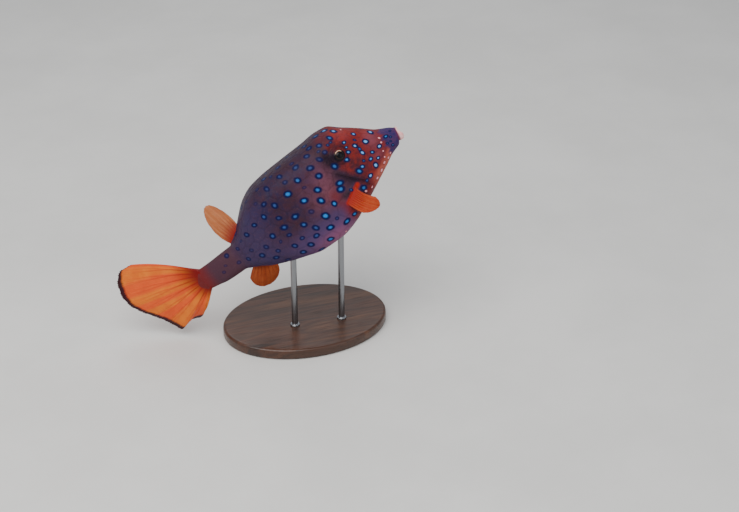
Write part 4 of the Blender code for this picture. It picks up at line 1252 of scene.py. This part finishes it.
def rippled_sheet(root, way, curl, bow, full, a, r, seed):
    """The middle of the fin's membrane and its normals. a counts rays, and r runs from 0 at the root to 1."""
    terms = ((way, r), (curl, r**2), (bow, 4 * r * (1 - r)))
    sheet = root[:, None] + sum(aside[:, None] * share[..., None] for aside, share in terms) * full[:, None, None]
    normal = np.cross(np.gradient(sheet, axis=0), np.gradient(sheet, axis=1))
    normal /= np.linalg.norm(normal, axis=-1, keepdims=True)
    shaker = random.Random(seed)
    waves = [(shaker.uniform(0.5, 1.6), shaker.uniform(0, 6.28), shaker.uniform(2, 5)) for _ in range(3)]
    ripple = sum(np.sin(a * rate + phase + r * outwards) for rate, phase, outwards in waves) / 3
    return sheet + normal * (RIPPLE * ripple * r**1.5)[..., None], normal


def two_sided_quads(columns, rows_out):
    """Faces of two equal grids of points that lie back to back, joined along their border."""
    index = np.arange(columns * rows_out).reshape(columns, rows_out)
    upper = np.stack((index[:-1, :-1], index[1:, :-1], index[1:, 1:], index[:-1, 1:]), -1).reshape(-1, 4)
    border = np.concatenate((index[:, 0], index[-1, 1:], index[-2::-1, -1], index[0, -2:0:-1]))
    after, under = np.roll(border, -1), columns * rows_out
    wall = np.stack((border, after, after + under, border + under), -1)
    return np.concatenate((upper, upper[:, ::-1] + under, wall))


# %% A fin from its rays
def build_fin(
    name, node, roots, ways, lengths, curls, bows, columns, rows_out, seed, flesh=FIN_FLESH, margin=(), ribs_from=0.02
):
    """A closed fin of two faces that meet in a thin edge."""
    last_ray = len(lengths) - 1
    across = np.linspace(0, 1, columns)
    out = np.linspace(0, 1, rows_out) ** 0.9
    root, way, curl, bow = (spread(values, across) for values in (roots, ways, curls, bows))
    way /= np.linalg.norm(way, axis=1, keepdims=True)
    length = smooth(across, np.linspace(0, 1, last_ray + 1), np.array(lengths, float)) * MM
    a, r = np.meshgrid(across * last_ray, out, indexing="ij")
    rib = rib_pattern(a, r)
    full = length * (1 + 0.012 * (rib[:, -1] - 0.5))
    sheet, normal = rippled_sheet(root, way, curl, bow, full, a, r, seed)
    joints = 0.88 + 0.12 * np.cos(r * full[:, None] / SEGMENT * 2 * math.pi)
    meat = flesh / 2 * np.maximum(0, 1 - r / FLESH_REACH) ** 2
    thin = np.minimum(1, np.minimum(1 - r, 0.06) / 0.06) ** 0.5
    side_edge = np.minimum(1, np.minimum(a, last_ray - a) / 0.12) ** 0.5
    rib_height = RAY_HEIGHT * rib * joints * (1 - 0.55 * r) * smooth_step(ribs_from, ribs_from + FLESH_REACH, r)
    half = ((meat + MEMBRANE + rib_height) * np.maximum(thin * side_edge, THIN_EDGE))[..., None]
    points = np.concatenate(((sheet + normal * half).reshape(-1, 3), (sheet - normal * half).reshape(-1, 3)))
    dark_rim = np.zeros_like(r)
    if margin:
        width = np.interp(across, *zip(*margin))[:, None] + 0.35 * (rib[:, -1:] - 0.5)
        dark_rim = smooth_step(width + 0.9, width * 0.55, (1 - r) * full[:, None] / MM)
    streak = smooth_step(-0.55, 0.55, np.sin(a * 2.9 + 1.3 * np.sin(a * 0.9 + 2 * r) + 0.8 * r))
    values = {"rib": rib, "out": r, "margin": dark_rim, "streak": streak}
    values = {key: np.tile(value.reshape(-1), 2) for key, value in values.items()}
    fin = mesh_of(name, to_stand(points), two_sided_quads(columns, rows_out), values)
    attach(fin, "root")
    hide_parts(node)
    print(name, "has", len(fin.data.polygons), "faces")
    return fin


# %% [markdown]
# The fins of the back and the belly stand far aft and drive a boxfish forward. Both are caught here at the end of a
# stroke to the left, so their rays lean that way. Each is written down by its first and last root, the direction of
# its front, middle and rear rays, and the length of all nine.

# %% The fins on the back and under the belly
def under_skin(x, turn):
    """A point a little under the middle of the back (turn 0) or of the belly (turn 10)."""
    here, ahead = ring(CARAPACE_SECTIONS, x, [turn])[0], ring(CARAPACE_SECTIONS, x + MM, [turn])[0]
    slope = (ahead - here) / np.linalg.norm(ahead - here)
    normal = np.array((-slope[2], 0, slope[0])) * (1 if turn == 0 else -1)
    return here - normal * FIN_SINK


dorsal_fin = build_fin(
    "dorsal_paddle",
    "dorsal_fin",
    roots=[under_skin(54.5 * MM, 0), under_skin(41 * MM, 0)],
    ways=[(-0.09, 0.24, 1.0), (-0.18, 0.24, 1.0), (-0.25, 0.24, 0.95)],
    lengths=(22, 31.5, 37, 39.5, 40, 39, 36.5, 32.5, 24),
    curls=[(-0.06, 0.08, 0), (-0.05, 0.08, 0)],
    bows=[(0.045, 0, 0), (-0.10, 0, 0)],
    columns=193,
    rows_out=90,
    seed=1,
)
anal_fin = build_fin(
    "anal_paddle",
    "anal_fin",
    roots=[under_skin(63 * MM, 10), under_skin(46 * MM, 10)],
    ways=[(-0.05, 0.78, -0.72), (-0.34, 0.72, -0.68), (-0.58, 0.68, -0.62)],
    lengths=(20, 30.5, 36.5, 39, 39, 37, 33, 27, 20),
    curls=[(-0.06, 0.10, 0), (-0.10, 0.10, 0)],
    bows=[(0.05, 0, 0), (-0.06, 0, 0)],
    columns=193,
    rows_out=90,
    seed=2,
)

# %% [markdown]
# The pectoral fins steer. The photograph shows the right one swept forward and down along the throat, broad and with
# a round tip. It is built on the right, and the left one takes its mirror image, held a little further out.

# %% The pectoral fins
right_ways = [(-0.12, -0.50, -0.80), (0.14, -0.50, -0.76), (0.26, -0.50, -0.74)]
left_ways = [(-0.10, -0.70, -0.60), (0.10, -0.65, -0.65), (0.15, -0.60, -0.70)]
pectoral_roots = [point - normal * FIN_SINK for point, normal in (flank_point(*at) for at in PECTORAL_PLACES)]
pectoral_fins = [
    build_fin(
        "pectoral_paddle_" + name,
        "pectoral_fin_" + name,
        roots=pectoral_roots * side,
        ways=ways * side,
        lengths=(26.5, 30.5, 31.5, 32, 32, 31.8, 31, 29.5, 27, 23),
        curls=((0.48, 0.04, 0.0), (0.32, 0.04, 0.0), (0.06, 0.04, 0.0)) * side,
        bows=[(0, 0, 0), (-0.02, 0, -0.02)],
        columns=217,
        rows_out=80,
        seed=3,
        ribs_from=0.16,
    )
    for name, side, ways in (("right", np.ones(3), right_ways), ("left", mirror, left_ways))
]

# %% [markdown]
# The tail fin is the largest. In the photograph it is spread wide, with a straight hind edge above and a fold near
# its lower end, where the last rays hang back to the left. So each of its twelve rays has its own row in a table.

# %% The tail fin
TAIL_RAYS = (
    # slope in degrees, length in millimetres, sweep to the left as a share of the length
    (37.5, 68, 0.02),
    (32.5, 81.5, 0.00),
    (25, 86.5, 0.00),
    (17.5, 87.5, 0.01),
    (10.5, 85, 0.03),
    (4, 79.5, 0.07),
    (-4, 72, 0.11),
    (-13, 67, 0.14),
    (-24, 65, 0.17),
    (-25.5, 51, 0.28),
    (-32, 45.5, 0.42),
    (-33, 30, 0.38),
)
TAIL_MARGIN = (
    # place from the upper to the lower edge of the fan, and width of the dark margin there in millimetres
    (0.0, 0.5), (0.06, 1.6), (0.12, 4.5), (0.18, 6.5), (0.27, 6.8), (0.34, 5.2), (0.5, 5.4), (0.64, 6.2), (0.74, 5.8),
    (0.77, 0.6), (0.80, 0.3), (0.83, 7.5), (0.90, 9.0), (0.94, 6.0), (0.96, 0.5), (1.0, 0.2),
)
ROOT_TOP, ROOT_BOTTOM = 11.3 * MM, -8.5 * MM
tail_root = tail_end - tail_way * FIN_SINK
slopes, tail_lengths, sweeps = zip(*TAIL_RAYS)
tail_fin = build_fin(
    "tail_fan",
    "caudal_fin",
    roots=[tail_root + (0, 0, ROOT_TOP), tail_root + (0, 0, ROOT_BOTTOM)],
    ways=[tail_way * math.cos(s) + np.array((0, 0, math.sin(s))) for s in np.radians(slopes)],
    lengths=tail_lengths,
    curls=[tail_left * share for share in sweeps],
    bows=[(0, 0, 0.055), (0, 0, 0), (0, 0, -0.055)],
    columns=397,
    rows_out=150,
    seed=4,
    flesh=6 * MM,
    margin=TAIL_MARGIN,
)

# %% [markdown]
# ## The fins' finish
#
# The fins are orange and let some light through. They are deep red at the root, brighter on the membrane, redder
# along the rays, and pale at the tip. The tail fin alone ends in a thin dark margin that fades in along its hind
# edge. Subsurface light stands in for the glow of a thin membrane, because the export keeps it.

# %% Fin materials
FIN_GRAIN, MARGIN_COLOUR = (224, 130, 70), (12, 10, 30)
FIN_FINISHES = (
    # name, fins, how far the root's red reaches, and the colours of the root, the rays, the web and the tip
    ("dorsal", [dorsal_fin], 0.5, ((132, 30, 22), (160, 86, 52), (176, 106, 64), (186, 120, 80))),
    ("anal", [anal_fin], 0.4, ((108, 38, 26), (148, 58, 36), (178, 84, 50), (188, 96, 56))),
    ("pectoral", pectoral_fins, 0.85, ((140, 14, 2), (154, 34, 10), (172, 60, 20), (178, 76, 34))),
    ("tail", [tail_fin], 0.42, ((118, 18, 18), (200, 60, 30), (228, 122, 36), (230, 80, 42))),
)


def fin_finish(name, root_reach, root, rays, web, tip):
    """A fin's material in four colours: its root, its rays, the web between them and its tip."""
    material, tree, shader = new_material(name)
    where = object_points(tree)
    cloud = use_group(tree, cloud_group, Place=where, Size=90.0, Low=0.35, High=0.65)
    fine = use_group(tree, cloud_group, Place=where, Size=420.0, Low=0.4, High=0.7)
    out = painted(tree, "out")
    rib = calc(tree, "MULTIPLY", painted(tree, "rib"), remap(tree, out, 0.04, 0.25))
    colour = layer(tree, rgb(*web), "streak", 0.75, tip)
    colour = layer(tree, colour, cloud, 0.35, rays)
    colour = layer(tree, colour, rib, remap(tree, out, 0.95, 0.2, 0.15, 0.8), rays)
    colour = layer(tree, colour, fine, 0.08, FIN_GRAIN)
    root_edge = calc(tree, "ADD", out, calc(tree, "MULTIPLY", rib, -0.05))
    colour = mix_colour(tree, remap(tree, root_edge, root_reach, 0.04), colour, rgb(*root))
    colour = layer(tree, colour, "margin", 0.95, MARGIN_COLOUR)
    grain = use_group(tree, grain_group, Place=where, Pimples=1500.0, Wrinkles=500.0)
    set_shader(
        tree,
        shader,
        Base_Color=colour,
        Roughness=0.45,
        Specular_IOR_Level=0.1,
        Subsurface_Weight=0.15,
        Subsurface_Radius=(0.004, 0.0015, 0.0006),
        Coat_Weight=0.02,
        Coat_Roughness=0.25,
        Normal=bumpy(tree, grain, 0.2, 0.0002),
    )
    return material


for name, fins, root_reach, tints in FIN_FINISHES:
    finish = fin_finish(name + "_finish", root_reach, *tints)
    for fin in fins:
        fin.data.materials.append(finish)
print("fin finishes:", [row[0] for row in FIN_FINISHES])

# %% [markdown]
# ## Eyes
#
# A fish's eye is a ball with a flat, bright iris under a clear bulging cornea. From outside, one ball with a slightly
# raised front reads well: the colours are rings round the eye's axis, and a clear coat gives the wet highlight. The
# points carry two painted values, how far they lie from the axis and how far they are on the upper side.

# %% Eyeballs
EYE_RINGS, EYE_AROUND = 90, 128
CORNEA_RISE, CORNEA_GROOVE = 0.35 * MM, 0.25 * MM
BALL_CLEARANCE, POLE_RISE = 0.02 * MM, 0.33 * MM
tilt = np.linspace(0, 180, EYE_RINGS + 1)[1:-1]
spin = np.linspace(0, 2 * math.pi, EYE_AROUND, endpoint=False)
radius = EYE_RADIUS - BALL_CLEARANCE + CORNEA_RISE * bell(tilt, 24) - CORNEA_GROOVE * bell(tilt - 34, 7)
round_axis = np.cos(spin)[:, None] * eye_along + np.sin(spin)[:, None] * eye_up
slant = np.radians(tilt)[:, None, None]
ball = (np.cos(slant) * eye_out + np.sin(slant) * round_axis) * radius[:, None, None]
poles = np.array((eye_out * (EYE_RADIUS + POLE_RISE), -eye_out * EYE_RADIUS))
eye_values = {
    "from_axis": np.append(np.repeat(tilt / 90, EYE_AROUND), (0, 2)),
    "on_top": np.append(np.tile(np.sin(spin + math.radians(12)), len(tilt)), (0, 0)),
}
eyes = []
for name, side in (("right", np.ones(3)), ("left", mirror)):
    shell_points, front, back = (to_stand((points + eye_centre) * side) for points in (ball, poles[0], poles[1]))
    eye = mesh_of_rings("eyeball_" + name, shell_points, front, back, eye_values)
    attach(eye, "root")
    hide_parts("eye_" + name)
    eyes.append(eye)
print("eyes:", [eye.name for eye in eyes])

# %% [markdown]
# The pupil is black, with a thin ring of copper round it. Light from above only brightens the ring's upper part, so
# there are two ramps of rings, a dull one and a bright one, mixed from the lower to the upper side.

# %% Eye material
PUPIL, IRIS_RIM = rgb(2, 3, 7), rgb(10, 6, 10)
DULL_RINGS = (
    (0.0, PUPIL),
    (0.275, PUPIL),
    (0.29, rgb(74, 44, 26)),
    (0.31, rgb(26, 14, 14)),
    (0.42, rgb(8, 8, 18)),
    (1.0, IRIS_RIM),
)
BRIGHT_RINGS = (
    (0.275, PUPIL),
    (0.30, rgb(196, 120, 66)),
    (0.33, rgb(232, 210, 196)),
    (0.37, rgb(206, 150, 110)),
    (0.41, rgb(60, 36, 40)),
    (1.0, IRIS_RIM),
)
eye_finish, tree, shader = new_material("wet_eye")
flecks = use_group(tree, cloud_group, Place=object_points(tree), Size=700.0, Low=0.3, High=0.7)
uneven = calc(tree, "MULTIPLY", calc(tree, "SUBTRACT", flecks, 0.5), 0.03)
from_axis = calc(tree, "ADD", painted(tree, "from_axis"), uneven)
upper_side = remap(tree, painted(tree, "on_top"), 0.45, 0.9)
iris = mix_colour(tree, upper_side, ramp(tree, from_axis, DULL_RINGS), ramp(tree, from_axis, BRIGHT_RINGS))
iris = layer(tree, iris, flecks, 0.2, (10, 8, 16))
set_shader(
    tree, shader, Base_Color=iris, Roughness=0.35, Specular_IOR_Level=0.1, Coat_Weight=0.22, Coat_Roughness=0.05
)
for eye in eyes:
    eye.data.materials.append(eye_finish)
print("eye nodes:", len(tree.nodes))

# %% [markdown]
# ## The stand
#
# The base is an oval of dark wood with a rounded top edge, and two plain steel rods stand in it. Both are turned
# from their outlines: rings of points, from the underside up over the edge to the middle. A cylinder with a bevel
# would do too, but a profile puts the points where the edge bends and needs none anywhere else.

# %% Base
BASE_HALF_LENGTH, BASE_HALF_WIDTH, BASE_THICK = 82.5 * MM, 60 * MM, 10 * MM
EDGE_ROUND, BASE_AROUND = 2.6, 192
edge_turn = np.linspace(0.1, math.pi / 2, 10)
base_profile = [
    # how far in from the edge, and how high, in millimetres
    *((1.2, 0.0), (0.4, 0.35), (0.0, 1.2), (0.0, 7.4)),
    *((EDGE_ROUND * (1 - math.cos(t)), 7.4 + EDGE_ROUND * math.sin(t)) for t in edge_turn),
    *((inset, 10.0) for inset in (4, 8, 16, 30, 45, 56)),
]


def oval(half_length, half_width, height, around, centre=(0, 0)):
    """A level ring of points."""
    spin = np.linspace(0, 2 * math.pi, around, endpoint=False)
    x, y = centre[0] + half_length * np.cos(spin), centre[1] + half_width * np.sin(spin)
    return np.stack((x, y, np.full(around, height)), -1)


base_rings = [
    oval(BASE_HALF_LENGTH - inset * MM, BASE_HALF_WIDTH - inset * MM, height * MM, BASE_AROUND)
    for inset, height in base_profile
]
base = mesh_of_rings("oval_base", base_rings, (0, 0, 0), (0, 0, BASE_THICK))
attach(base, "root")
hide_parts("stand_base")
print("base:", 2000 * BASE_HALF_LENGTH, "by", 2000 * BASE_HALF_WIDTH, "mm")

# %% Rods
ROD_AROUND, ROD_FOOT, SHARP_ANGLE = 64, 9.9, 35
INTO_BELLY = 1.5 * MM
rods = []
for node in ("stand_rod_front", "stand_rod_rear"):
    low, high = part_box(node)
    centre = ((low.x + high.x) / 2, (low.y + high.y) / 2)
    top = (high.z + INTO_BELLY) / MM
    # radius and height in millimetres: a collar at the foot, then the plain rod
    collar = ((4.6, ROD_FOOT), (4.6, 11.6), (4.2, 12.0), (3.3, 12.0), (3.0, 12.4))
    profile = (*collar, (3.0, 40.0), (3.0, top), (0.5, top))
    rod_rings = [oval(r * MM, r * MM, height * MM, ROD_AROUND, centre) for r, height in profile]
    rod_name = node.replace("stand_rod", "steel_rod")
    rod = mesh_of_rings(rod_name, rod_rings, (*centre, ROD_FOOT * MM), (*centre, top * MM))
    rod.data.set_sharp_from_angle(angle=math.radians(SHARP_ANGLE))
    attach(rod, "root")
    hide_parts(node)
    rods.append(rod)
    print(rod_name, "stands at", [round(c, 3) for c in centre], "and is", round(top - ROD_FOOT, 1), "mm high")

# %% [markdown]
# ## Wood and steel
#
# Walnut shows dark and light bands along the board with short open pores. The rods are brushed lengthwise, which
# leaves fine scratches up and down them. Both are the drawn-out grain, stretched along the base for the wood and
# along the rod for the steel. A picture of wood would do for the base, but a pattern made from noise runs through
# the board, also round its edge, and never repeats.

# %% Dark walnut
WOOD_BANDS = ((0.30, rgb(40, 22, 14)), (0.46, rgb(80, 46, 28)), (0.54, rgb(60, 34, 20)), (0.70, rgb(98, 60, 36)))
wood_finish, tree, shader = new_material("dark_walnut")
where = object_points(tree)
bands = use_group(tree, drawn_group, Place=where, Stretch=(6.0, 55.0, 55.0), Detail=6.0, Distortion=0.8)
pores = use_group(tree, drawn_group, Place=where, Stretch=(40.0, 900.0, 900.0))
pore_mask = remap(tree, pores, 0.58, 0.70, 0.0, 0.6)
set_shader(
    tree,
    shader,
    Base_Color=mix_colour(tree, pore_mask, ramp(tree, bands, WOOD_BANDS), rgb(24, 13, 8)),
    Roughness=remap(tree, pores, 0.4, 0.7, 0.32, 0.5),
    Coat_Weight=0.1,
    Normal=bumpy(tree, pores, 0.15, 0.0003),
)
base.data.materials.append(wood_finish)
print("wood nodes:", len(tree.nodes))

# %% Brushed steel
steel_finish, tree, shader = new_material("brushed_rod")
brushing = use_group(tree, drawn_group, Place=object_points(tree), Stretch=(900.0, 900.0, 12.0))
set_shader(
    tree,
    shader,
    Base_Color=mix_colour(tree, brushing, rgb(120, 122, 126), rgb(158, 160, 164)),
    Roughness=remap(tree, brushing, 0.3, 0.7, 0.22, 0.38),
    Metallic=1.0,
)
for rod in rods:
    rod.data.materials.append(steel_finish)
print("steel nodes:", len(tree.nodes))

# %% [markdown]
# ## The size
#
# The dressed model should fill the same box as the solids, give or take a millimetre, so both boxes are printed.

# %% Sizes
shown_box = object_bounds()
for title, box in (("CAD box", cad_box), ("shown", shown_box)):
    print(title, [[round(v, 4) for v in corner] for corner in box])
